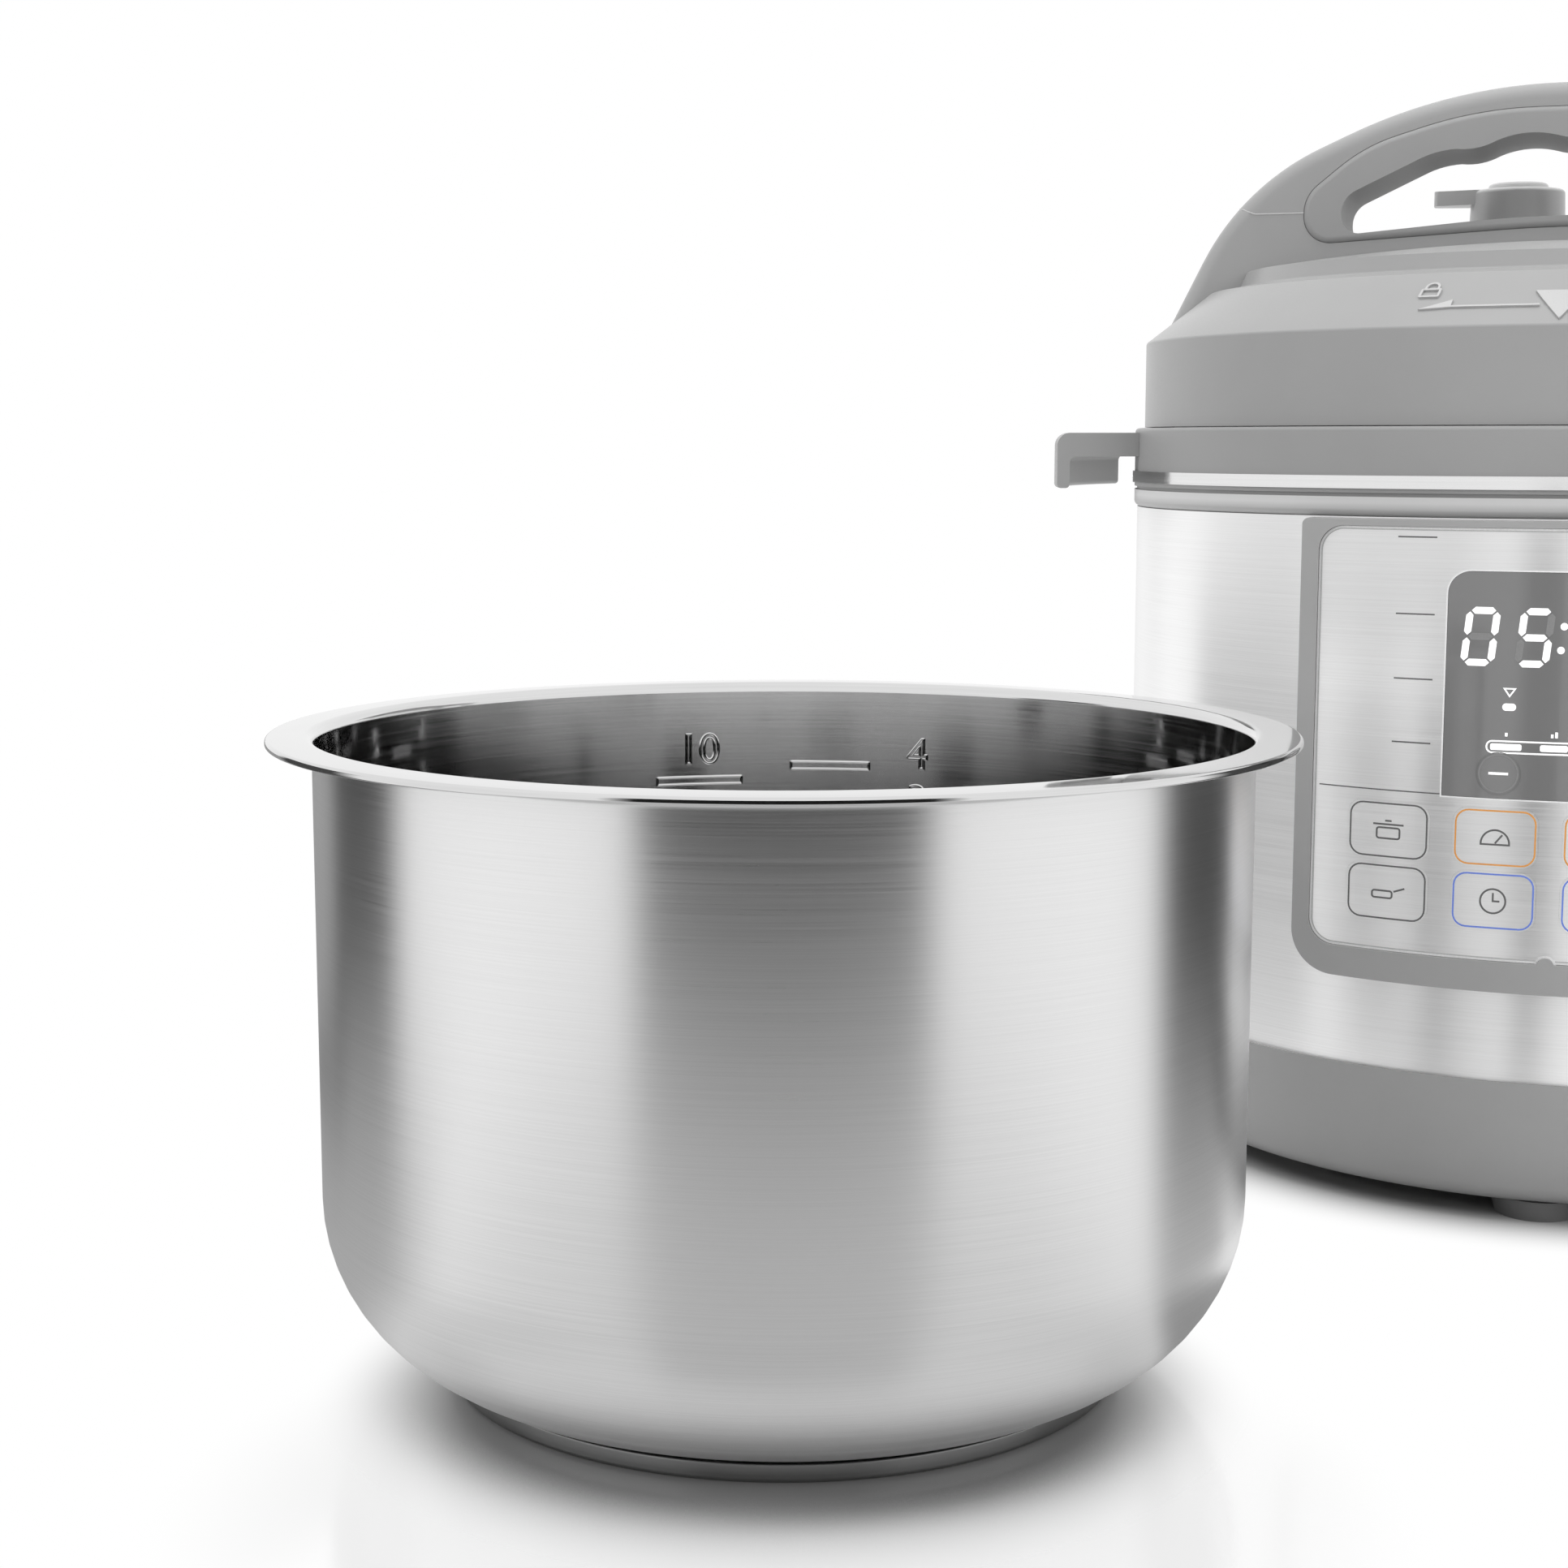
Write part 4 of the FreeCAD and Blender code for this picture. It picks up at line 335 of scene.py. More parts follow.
def clear_moulding(name, colour):
    """Clear plastic with a faint flow pattern."""
    material, tree, shader = new_material(name, Transmission_Weight=0.85, IOR=1.49)
    flow = noise(tree, object_place(tree), 45.0, 2.0)
    coat(tree, shader, mottle(tree, flow, colour, 0.97, 1.0), spread(tree, flow, 0.08, 0.16))
    bump(tree, shader, flow, 0.05, 0.3)
    return material


def circuit_board(name, colour, copper):
    """Coated laminate with faint tracks."""
    material, tree, shader = new_material(name, Roughness=0.35, Coat_Weight=0.3)
    tracks = result_of(tree, "TexBrick", {
        "Vector": object_place(tree), "Scale": 90.0, "Color1": colour, "Color2": shade(colour, 1.25),
        "Mortar": copper, "Mortar Size": 0.03})
    tree.links.new(tracks, shader.inputs["Base Color"])
    bump(tree, shader, noise(tree, object_place(tree), 700.0), 0.02)
    return material


def smoked_film(name, colour, roughness):
    """Tinted display window: glossy, with a faint mottle."""
    material, tree, shader = new_material(name, Coat_Weight=0.6, Coat_Roughness=0.06)
    cloud = noise(tree, object_place(tree), 30.0, 2.0)
    fine = noise(tree, object_place(tree), 1800.0, 1.0)
    coat(tree, shader, mottle(tree, cloud, colour, 0.97, 1.03), around(tree, fine, roughness, 0.03))
    bump(tree, shader, fine, 0.003)
    return material


def printing_ink(name, colour, roughness=0.5, glow=0.0):
    """Screen-printed ink, slightly uneven, or a lit mark."""
    material, tree, shader = new_material(
        name, Emission_Color=colour, Emission_Strength=glow, Specular_IOR_Level=0.3)
    fine = noise(tree, object_place(tree), 2200.0, 2.0)
    coat(tree, shader, mottle(tree, fine, colour, 0.94, 1.04), around(tree, fine, roughness, 0.05))
    return material


def paint_highlight_below(material, height, depth, low_colour, top_colour):
    """Paint a highlight into a plastic: a lighter band below a height, most at the band's top, as light
    falls on a rounded edge.
    """
    tree = material.node_tree
    shader = tree.nodes["Principled BSDF"]
    usual = shader.inputs["Base Color"].links[0].from_socket
    place = result_of(tree, "TexCoord", output="Object")
    level = result_of(tree, "SeparateXYZ", {0: place}, output=2)
    rise = spread(tree, level, 0.0, 1.0, (height - depth) * MM, height * MM)
    band = tint(tree, rise, low_colour, top_colour)
    below = math_node(tree, "LESS_THAN", level, height * MM)
    mixed = result_of(tree, "MixRGB", {"Fac": below, "Color1": usual, "Color2": band})
    tree.links.new(mixed, shader.inputs["Base Color"])
    return material


# The finish of each material slot: its maker and what the maker is told.
RECIPES = {
    "rubber_foot": (soft_rubber, grey(0.16), 0.7),
    "body_plastic": (moulded_plastic, grey(0.35), 0.42),
    "lid_plastic": (moulded_plastic, grey(0.30), 0.36, 0.35, 0.02, 0.35),
    "grip_plastic": (moulded_plastic, grey(0.29), 0.48, 0.25),
    "shell_steel": (brushed_steel, grey(0.95), 0.36, COOKER_AXIS),
    "panel_steel": (brushed_steel, grey(0.96), 0.38),
    "bright_trim": (brushed_steel, grey(0.8), 0.14, COOKER_AXIS, 0.4, 0.8, 0.002),
    "plated_sheet": (plain_metal, grey(0.5), 0.38),
    "screw_steel": (plain_metal, grey(0.45), 0.3, 0.3),
    "chamber_aluminium": (turned_metal, grey(0.62), 0.34, COOKER_AXIS),
    "cast_aluminium": (turned_metal, grey(0.55), 0.36, COOKER_AXIS, 0.8, 0.04),
    "element_steel": (plain_metal, grey(0.36), 0.42),
    "fuse_ceramic": (moulded_plastic, (0.75, 0.71, 0.6, 1.0), 0.3),
    "board": (circuit_board, (0.01, 0.09, 0.035, 1.0), (0.05, 0.16, 0.06, 1.0)),
    "black_plastic": (moulded_plastic, grey(0.025), 0.45),
    "brass_pins": (plain_metal, (0.6, 0.42, 0.12, 1.0), 0.25, 0.3),
    "display_film": (smoked_film, grey(0.19), 0.16),
    "key_film": (brushed_steel, grey(0.97), 0.42, None, 0.6),
    "clear_plastic": (clear_moulding, grey(0.9)),
    "liner_steel": (brushed_steel, grey(0.72), 0.3, COOKER_AXIS, 0.5),
    "silicone": (soft_rubber, (0.72, 0.72, 0.7, 1.0), 0.45, 0.02, 0.3),
    "pot_steel": (brushed_steel, grey(0.84), 0.33, POT_AXIS, 0.8),
}
FINISHES = {name: make(name, *told) for name, (make, *told) in RECIPES.items()}
POLISHED_STEEL = brushed_steel("polished_steel", grey(0.72), 0.08, POT_AXIS, 0.2, 0.6, 0.0008)
# Darker copy of the pot's steel for the base cap: painted shade, for the shadowed floor it reflects.
BASE_STEEL_PAINTED_SHADE = brushed_steel("pot_base_steel_painted_shade", grey(0.3), 0.35, POT_AXIS, 0.5)
# Lighter copy of the lid's plastic: painted highlight on the raised marks and the handle's seams.
HIGHLIGHT_MARK_PLASTIC = moulded_plastic("lid_mark_painted_highlight_plastic", grey(0.46), 0.32, gloss=0.3)
# Knob plastic lighter than the lid's: painted light, lifting the shade that falls on it under the handle.
KNOB_PAINTED_LIGHT_PLASTIC = moulded_plastic("knob_painted_light_plastic", grey(0.56), 0.36, gloss=0.35)
# Collar plastic with a painted highlight on the band below its groove.
COLLAR_PAINTED_HIGHLIGHT_PLASTIC = paint_highlight_below(moulded_plastic("collar_painted_highlight_plastic", grey(0.30), 0.42),
                               TRIM_BOTTOM - HIGHLIGHT_BAND_DROP, HIGHLIGHT_BAND_HEIGHT, grey(0.42), grey(0.62))
OWN_FINISHES = {"steam_knob": KNOB_PAINTED_LIGHT_PLASTIC, "collar": COLLAR_PAINTED_HIGHLIGHT_PLASTIC}
DARK_INK = printing_ink("dark_ink", grey(0.13))
ORANGE_INK = printing_ink("orange_ink", (0.75, 0.34, 0.09, 1.0))
BLUE_INK = printing_ink("blue_ink", (0.16, 0.25, 0.72, 1.0))
LIT_INK = printing_ink("lit_ink", grey(0.95), glow=0.35)
GHOST_INK = printing_ink("ghost_ink", grey(0.25))
# Painted highlight and painted shade lines along the panel's edges.
EDGE_HIGHLIGHT_INK = printing_ink("edge_highlight_ink", grey(0.85))
GROOVE_SHADE_INK = printing_ink("groove_shade_ink", grey(0.5))


# Making pieces.

def make_object(name, bm, material):
    """Put a mesh with its material into the scene."""
    mesh = bpy.data.meshes.new(name)
    bm.to_mesh(mesh)
    bm.free()
    mesh.materials.append(material)
    made = bpy.data.objects.new(name, mesh)
    scene.collection.objects.link(made)
    return made


def add_piece(name, bm, body, slot, material=None):
    """Turn a mesh in millimetres into a finished piece that rides on a body."""
    bmesh.ops.recalc_face_normals(bm, faces=bm.faces)
    bmesh.ops.scale(bm, vec=Vector((MM, MM, MM)), verts=bm.verts)
    piece = make_object(name, bm, material or FINISHES[slot])
    piece.data.shade_smooth()
    piece.data.set_sharp_from_angle(angle=CREASE)
    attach(piece, body)
    return piece


def filleted(corners, steps):
    """An open line through corners of (radius, height, round), with arcs at the rounded ones."""
    points = []
    for i, (x, z, *given) in enumerate(corners):
        if not given:
            points.append(Vector((x, z)))
            continue
        here = Vector((x, z))
        into = (here - Vector(corners[i - 1][:2])).normalized()
        out = (Vector(corners[i + 1][:2]) - here).normalized()
        turn = into.angle_signed(out)
        reach = given[0] * math.tan(abs(turn) / 2)
        side = Vector((into.y, -into.x)) * math.copysign(1.0, turn)
        centre = here - into * reach + side * given[0]
        first = here - into * reach - centre
        for k in range(steps + 1):
            points.append(centre + Matrix.Rotation(-turn * k / steps, 2) @ first)
    return points


def spun(points, axis, steps=SPIN_STEPS):
    """Turn a line of (radius, height) points all the way round an upright axis."""
    bm = bmesh.new()
    verts = [bm.verts.new((axis.x + p[0], axis.y, p[1])) for p in points]
    edges = [bm.edges.new(pair) for pair in zip(verts, verts[1:])]
    bmesh.ops.spin(bm, geom=verts + edges, cent=(axis.x, axis.y, 0), axis=(0, 0, 1), angle=FULL_TURN,
                   steps=steps, use_merge=True, dvec=(0, 0, 0))
    bmesh.ops.remove_doubles(bm, verts=bm.verts, dist=MERGE_DISTANCE)
    bmesh.ops.recalc_face_normals(bm, faces=bm.faces)
    return bm


def plate(bm, points):
    """A flat face in the XZ plane, through a few points."""
    face = bm.faces.new([bm.verts.new((x, 0.0, z)) for x, z in points])
    face.normal_update()
    return face


def bar(bm, start, end, width=SYMBOL_LINE):
    """A straight flat line between two points."""
    a, b = Vector(start), Vector(end)
    side = (b - a).normalized().orthogonal() * width / 2
    return plate(bm, [a - side, b - side, b + side, a + side])


def disc(bm, x, z, radius, steps=40):
    """A flat round face."""
    turn = Matrix.Translation((x, 0, z)) @ Matrix.Rotation(RIGHT_ANGLE, 4, "X")
    made = bmesh.ops.create_circle(bm, cap_ends=True, segments=steps, radius=radius, matrix=turn)
    return made["verts"][0].link_faces[0]


def rounded_plate(bm, low, high, corner, steps=6, top_only=False):
    """A flat rectangle from its lowest to its highest corner, with all or its upper corners rounded."""
    face = plate(bm, [(low[0], low[1]), (high[0], low[1]), (high[0], high[1]), (low[0], high[1])])
    turned = [vert for vert in face.verts if vert.co.z > low[1] or not top_only]
    made = bmesh.ops.bevel(bm, geom=turned, offset=corner, affect="VERTICES", segments=steps,
                           profile=0.5, material=-1)
    return max(made["verts"][0].link_faces, key=lambda f: f.calc_area())


def hollow(bm, face, width=SYMBOL_LINE):
    """Leave only a line of this width along a face's outline."""
    bmesh.ops.inset_region(bm, faces=[face], thickness=width, use_boundary=True, use_even_offset=True)
    bmesh.ops.delete(bm, geom=[face], context="FACES")


def outline(bm, low, high, grow, corner, line, steps=6, top_only=False):
    """A line round a rounded frame node, moved outwards from its box by a distance."""
    face = rounded_plate(bm, (low.x - grow, low.z - grow), (high.x + grow, high.z + grow),
                         corner + grow, steps, top_only)
    hollow(bm, face, line)


def cut_off(bm, x, z, normal):
    """Cut away what lies past a plane."""
    bmesh.ops.bisect_plane(bm, geom=bm.verts[:] + bm.edges[:] + bm.faces[:], plane_co=(x, 0, z),
                           plane_no=normal, clear_outer=True)


def half_ring(bm, x, z, radius, width, normal):
    """The half of a flat ring that lies on one side of its middle."""
    own = bmesh.new()
    hollow(own, disc(own, x, z, radius), width)
    cut_off(own, x, z, normal)
    part = bpy.data.meshes.new("half_ring")
    own.to_mesh(part)
    own.free()
    bm.from_mesh(part)
    bpy.data.meshes.remove(part)


def thicken(bm, thickness):
    """Give flat faces in the XZ plane a thickness, towards the back."""
    made = bmesh.ops.extrude_face_region(bm, geom=bm.faces[:])
    moved = [g for g in made["geom"] if isinstance(g, bmesh.types.BMVert)]
    bmesh.ops.translate(bm, verts=moved, vec=(0, thickness, 0))


def divide(bm, longest):
    """Split many-sided faces and cut long edges up, so that the faces can follow a curve."""
    bmesh.ops.triangulate(bm, faces=[f for f in bm.faces if len(f.verts) > 4])
    for _ in range(DIVIDE_ROUNDS):
        edges = [e for e in bm.edges if e.calc_length() > longest]
        if not edges:
            return
        bmesh.ops.subdivide_edges(bm, edges=edges, cuts=1, use_grid_fill=True)


def wrap_on_panel(bm, radius):
    """Bend a flat print, drawn looking along +Y, on to the panel's curve."""
    for vert in bm.verts:
        vert.co.y -= math.sqrt(radius ** 2 - vert.co.x ** 2)


def panel_print(name, draw, body, slot, material, radius=FACE_RADIUS):
    """A thin print on the curved panel: draw(bm) makes its flat faces."""
    bm = bmesh.new()
    draw(bm)
    divide(bm, PRINT_STEP)
    thicken(bm, PRINT_THICKNESS)
    wrap_on_panel(bm, radius + PRINT_THICKNESS / 2)
    add_piece(name, bm, body, slot, material)


# Inner pot.

def pot_shell():
    """Drawn steel pot: brushed outside, polished rim and inside."""
    bore = POT_RADIUS - POT_WALL
    under = POT_TOP - POT_RIM_THICKNESS
    edge = POT_TOP - POT_RIM_SLOPE
    lip_inner = POT_RIM_RADIUS - POT_RIM_THICKNESS
    lip_low = edge - POT_LIP_HEIGHT
    points = filleted([
        (0, POT_FLOOR), (POT_RADIUS, POT_FLOOR, POT_CORNER),
        (POT_RADIUS, under, POT_RIM_BEND + POT_WALL),
        (lip_inner, under - POT_RIM_SLOPE), (lip_inner, lip_low),
        (POT_RIM_RADIUS, lip_low, POT_LIP_EDGE), (POT_RIM_RADIUS, edge, POT_LIP_EDGE * 2),
        (bore, POT_TOP, POT_RIM_BEND), (bore, POT_FLOOR + POT_WALL, POT_CORNER - POT_WALL),
        (0, POT_FLOOR + POT_WALL)], POT_ARC_STEPS)
    bm = spun(points, POT_AXIS, POT_SPIN_STEPS)
    middle = POT_RADIUS - POT_WALL / 2
    for face in bm.faces:
        centre = face.calc_center_median()
        reach = (centre.xy - POT_AXIS.xy).length
        looks_up = centre.z > POT_FLOOR and face.normal.z > FLOOR_TILT
        looks_in = face.normal.xy.dot(centre.xy - POT_AXIS.xy) < 0
        inside = reach < middle and (looks_up or looks_in)
        face.material_index = int(inside or centre.z > under - POT_RIM_BEND)
    piece = add_piece("pot_body", bm, "pot", "pot_steel")
    piece.data.materials.append(POLISHED_STEEL)
    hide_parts("pot_shell")


def pot_base():
    """Steel cap under the pot, with a fine bead along its upper edge, in darker steel for painted shade."""
    inner = CAP_RADIUS - CAP_WALL
    points = filleted([
        (0, 0), (CAP_RADIUS, 0, CAP_CORNER), (CAP_RADIUS, CAP_HIGH.z, CAP_WALL / 2),
        (inner, CAP_HIGH.z, CAP_WALL / 3), (inner, CAP_WALL), (0, CAP_WALL)], CAP_ARC_STEPS)
    piece = add_piece("pot_cap", spun(points, POT_AXIS), "pot", "pot_steel", BASE_STEEL_PAINTED_SHADE)
    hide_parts("pot_base_cap")


def number_ridges(text):
    """The outline of a plain number as thin raised ridges, in the XZ plane, centred."""
    curve = bpy.data.curves.new("number", "FONT")
    curve.body = text
    curve.size = MARK_HEIGHT * TEXT_SHARE
    curve.align_x = "CENTER"
    curve.align_y = "CENTER"
    curve.fill_mode = "NONE"
    curve.bevel_depth = MARK_RIDGE
    curve.bevel_resolution = 3
    curve.resolution_u = 6
    holder = bpy.data.objects.new("number", curve)
    mesh = bpy.data.meshes.new_from_object(holder)
    bpy.data.objects.remove(holder)
    bpy.data.curves.remove(curve)
    mesh.transform(Matrix.Rotation(RIGHT_ANGLE, 4, "X"))
    return mesh


def line_ridge(bm, left, right, low, high):
    """The outline of a long bar as a thin raised ridge."""
    corners = [Vector((x, 0, z)) for x, z in ((left, low), (right, low), (right, high), (left, high))]
    for a, b in zip(corners, corners[1:] + corners[:1]):
        rod_between(bm, a, b, MARK_RIDGE)


def rod_between(bm, a, b, radius):
    """A round rod between two points, with a ball at each end."""
    along = b - a
    turn = along.to_track_quat("Z", "Y").to_matrix().to_4x4()
    bmesh.ops.create_cone(bm, segments=ROD_STEPS, radius1=radius, radius2=radius, depth=along.length,
                          matrix=Matrix.Translation((a + b) / 2) @ turn)
    for end_point in (a, b):
        bmesh.ops.create_uvsphere(bm, u_segments=ROD_STEPS, v_segments=BALL_STEPS, radius=radius,
                                  matrix=Matrix.Translation(end_point))


def level_marks():
    """Level lines and plain numbers pressed into the back of the pot's wall."""
    bore = POT_RADIUS - POT_WALL
    bm = bmesh.new()
    for text, x, z in LEVEL_NUMBERS:
        mesh = number_ridges(text)
        mesh.transform(Matrix.Translation((x, 0, z)))
        bm.from_mesh(mesh)
        bpy.data.meshes.remove(mesh)
    for line in LEVEL_LINES:
        line_ridge(bm, *line)
    divide(bm, MARK_STEP)
    turn = Matrix.Rotation(math.atan2(-AHEAD.x, AHEAD.y), 4, "Z")
    for vert in bm.verts:
        reach = bore - MARK_SINK + vert.co.y
        angle = vert.co.x / bore
        vert.co = Vector((reach * math.sin(angle), reach * math.cos(angle), vert.co.z))
    bmesh.ops.transform(bm, matrix=turn, verts=bm.verts)
    bmesh.ops.translate(bm, verts=bm.verts, vec=(POT_AXIS.x, POT_AXIS.y, 0))
    add_piece("pot_level_marks", bm, "pot", "pot_steel", POLISHED_STEEL)


# Display.

SEGMENTS = {"0": "abcdef", "5": "acdfg"}
SEGMENT_ENDS = {"a": ((-1, 1), (1, 1)), "b": ((1, 0), (1, 1)), "c": ((1, -1), (1, 0)),
                "d": ((-1, -1), (1, -1)), "e": ((-1, -1), (-1, 0)), "f": ((-1, 0), (-1, 1)),
                "g": ((-1, 0), (1, 0))}
DIGIT_WIDTH = 9.0
DIGIT_HEIGHT = 16.0
DIGIT_LINE = 1.9
DIGIT_SLANT = 0.1
DIGIT_PLACES = ((-20.2, "0"), (-6.0, "5"), (8.2, "0"), (22.0, "0"))
DIGITS_Z = 168.5
SEGMENT_GAP = 0.35
COLON_X = 1.1
COLON_RISE = 3.2
COLON_RADIUS = 1.0
COLON_STEPS = 20
LAMP_X = 12.0
LAMP_HALF = 1.8
LAMP_LOW, LAMP_TOP = 148.6, 150.6
LAMP_CORNER = 0.95
POINTER_LOW, POINTER_TOP = 152.2, 154.8
POINTER_LINE = 0.4
GAUGE_HALF = 17.8
GAUGE_LOW, GAUGE_TOP = 136.9, 140.5
GAUGE_CORNER = 1.7
GAUGE_LINE = 0.45
CELL_LOW, CELL_TOP = 137.8, 139.6
CELL_CORNER = 0.5
LIT_CELLS = ((-16.6, -8.4), (-3.6, 3.6))
UNLIT_CELL = (8.4, 16.6)
BAR_GROUPS = ((-12.5, 1), (0.0, 2), (12.5, 3))
BAR_PITCH = 1.1
BAR_LINE = 0.7
BAR_LOW, BAR_TOP = 141.6, 142.6
BAR_RISE = 0.6
SIGN_REACH = 2.6
SIGN_LINE = 0.7
SIGN_GAP = 0.36
CIRCLE_INSET = 0.3
CIRCLE_LINE = 0.4
CIRCLE_STEPS = 48


def draw_segment(bm, x, z, name):
    """One lit or unlit bar of a digit, with pointed ends."""
    thin = DIGIT_LINE / 2
    right, top = DIGIT_WIDTH / 2 - thin, DIGIT_HEIGHT / 2 - thin
    start, end = (Vector((right * across, top * up)) for across, up in SEGMENT_ENDS[name])
    along = (end - start).normalized()
    side = Vector((-along.y, along.x)) * thin
    first, last = start + along * SEGMENT_GAP, end - along * SEGMENT_GAP
    near, far = first + along * thin, last - along * thin
    shape = (first, near - side, far - side, last, far + side, near + side)
    plate(bm, [(x + p.x + DIGIT_SLANT * p.y, z + p.y) for p in shape])


def display_lamp(bm, x):
    """A small lamp with rounded ends."""
    rounded_plate(bm, (x - LAMP_HALF, LAMP_LOW), (x + LAMP_HALF, LAMP_TOP), LAMP_CORNER)


def gauge_cell(bm, left, right):
    """One cell of the gauge."""
    rounded_plate(bm, (left, CELL_LOW), (right, CELL_TOP), CELL_CORNER)


def display_marks():
    """Lit digits, the bars that are off, lamps with their pointers, and a gauge with its bars."""
    def lit(bm):
        for x, digit in DIGIT_PLACES:
            for name in SEGMENTS[digit]:
                draw_segment(bm, x, DIGITS_Z, name)
        for rise in (-COLON_RISE, COLON_RISE):
            disc(bm, COLON_X + DIGIT_SLANT * rise, DIGITS_Z + rise, COLON_RADIUS, COLON_STEPS)
        display_lamp(bm, -LAMP_X)
        gauge = rounded_plate(bm, (-GAUGE_HALF, GAUGE_LOW), (GAUGE_HALF, GAUGE_TOP), GAUGE_CORNER)
        hollow(bm, gauge, GAUGE_LINE)
        for x, tip, back in ((-LAMP_X, POINTER_LOW, POINTER_TOP), (LAMP_X, POINTER_TOP, POINTER_LOW)):
            half = math.copysign(LAMP_HALF, back - tip)
            pointer = plate(bm, [(x, tip), (x + half, back), (x - half, back)])
            hollow(bm, pointer, POINTER_LINE)
        for x, bars in BAR_GROUPS:
            for step in range(bars):
                middle = x + BAR_PITCH * (step + 0.5 - bars / 2)
                bar(bm, (middle, BAR_LOW), (middle, BAR_TOP + BAR_RISE * step), BAR_LINE)
        for cell in LIT_CELLS:
            gauge_cell(bm, *cell)

    def unlit(bm):
        for x, digit in DIGIT_PLACES:
            for name in SEGMENT_ENDS:
                if name not in SEGMENTS[digit]:
                    draw_segment(bm, x, DIGITS_Z, name)
        display_lamp(bm, LAMP_X)
        gauge_cell(bm, *UNLIT_CELL)

    panel_print("display_lit_marks", lit, "base", "display_film", LIT_INK)
    panel_print("display_unlit_marks", unlit, "base", "display_film", GHOST_INK)


def key_middle(key):
    """The middle of a key, and half its width."""
    low, high = node_box(key)
    return (low.x + high.x) / 2, (low.z + high.z) / 2, (high.x - low.x) / 2


def round_key_marks():
    """Minus and plus on the two round keys, each in a faint circle."""
    for key, upright in (("key_minus", False), ("key_plus", True)):
        x, z, radius = key_middle(key)

        def sign(bm):
            bar(bm, (x - SIGN_REACH, z), (x + SIGN_REACH, z), SIGN_LINE)
            if upright:
                bar(bm, (x, z + SIGN_GAP), (x, z + SIGN_REACH), SIGN_LINE)
                bar(bm, (x, z - SIGN_REACH), (x, z - SIGN_GAP), SIGN_LINE)

        def circle(bm):
            hollow(bm, disc(bm, x, z, radius - CIRCLE_INSET, CIRCLE_STEPS), CIRCLE_LINE)

        panel_print(f"{key}_sign", sign, key, "display_film", LIT_INK, KEY_RADIUS)
        panel_print(f"{key}_circle", circle, key, "display_film", GHOST_INK, KEY_RADIUS)


# Rectangular keys and panel print. Symbols are drawn round the origin.

def draw_pot(bm):
    """A pot with a lid."""
    hollow(bm, rounded_plate(bm, (-3.4, -2.6), (3.4, 0.9), 0.9))
    bar(bm, (-4.2, 1.6), (4.2, 1.6))
    bar(bm, (-0.9, 2.6), (0.9, 2.6))


def draw_gauge(bm):
    """A half-round gauge with a needle."""
    half_ring(bm, 0, -1.6, 4.0, SYMBOL_LINE, (0, 0, -1))
    bar(bm, (-4.0, -1.85), (4.0, -1.85))
    bar(bm, (0, -1.5), (1.9, 0.9))


def draw_thermometer(bm):
    """A thermometer."""
    hollow(bm, disc(bm, 0, -2.1, 1.5, 24))
    bar(bm, (-0.8, -0.7), (-0.8, 3.4))
    bar(bm, (0.8, -0.7), (0.8, 3.4))
    bar(bm, (-0.55, 3.2), (0.55, 3.2))


def draw_steam(bm):
    """Three rising wisps."""
    for shift in (-2.6, 0.0, 2.6):
        half_ring(bm, shift, 1.4, 1.4, SYMBOL_LINE, (1, 0, 0))
        half_ring(bm, shift, -0.9, 1.4, SYMBOL_LINE, (-1, 0, 0))


def draw_pan(bm):
    """A shallow pan with a handle."""
    hollow(bm, rounded_plate(bm, (-4.2, -1.9), (1.8, 0.6), 0.9))
    bar(bm, (2.0, 0.3), (5.0, 1.4))


def draw_clock(bm):
    """A clock face."""
    hollow(bm, disc(bm, 0, 0, 3.6, 32))
    bar(bm, (0, -0.25), (0, 2.3))
    bar(bm, (0.26, 0), (1.8, 0))


def draw_sun(bm):
    """A small disc with rays, for warmth."""
    hollow(bm, disc(bm, 0, 0, 1.7, 24))
    for ray in range(8):
        arm = Vector((math.cos(ray * math.pi / 4), math.sin(ray * math.pi / 4)))
        bar(bm, arm * 2.4, arm * 3.6)


def draw_start(bm):
    """A start triangle beside a stop square."""
    plate(bm, [(-4.2, -2.0), (-0.8, 0), (-4.2, 2.0)])
    rounded_plate(bm, (0.8, -1.8), (4.4, 1.8), 0.3)


KEY_SYMBOLS = {
    "key_upper_1": (draw_pot, DARK_INK), "key_upper_2": (draw_gauge, ORANGE_INK),
    "key_upper_3": (draw_thermometer, ORANGE_INK), "key_upper_4": (draw_steam, DARK_INK),
    "key_lower_1": (draw_pan, DARK_INK), "key_lower_2": (draw_clock, BLUE_INK),
    "key_lower_3": (draw_sun, BLUE_INK), "key_lower_4": (draw_start, DARK_INK),
}


def key_prints():
    """The printed outline and the symbol of each rectangular key."""
    for key, (draw, ink) in KEY_SYMBOLS.items():
        x, z, _ = key_middle(key)

        def border(bm):
            outline(bm, *node_box(key), -OUTLINE_INSET, KEY_CORNER, OUTLINE_WIDTH)

        def symbol(bm):
            draw(bm)
            bmesh.ops.translate(bm, verts=bm.verts, vec=(x, 0, z))

        panel_print(f"{key}_outline", border, key, "key_film", ink, KEY_RADIUS)
        panel_print(f"{key}_symbol", symbol, key, "key_film", DARK_INK, KEY_RADIUS)


TICK_LEVELS = (195.0, 174.0, 156.2, 138.6)
TICK_INNER = 32.5
TICK_OUTER = 43.0
TICK_LINE = 0.4
RULE_OUTER = 63.0
RULE_GAP = 0.55
RULE_RISE = 0.3
RULE_LINE = 0.35


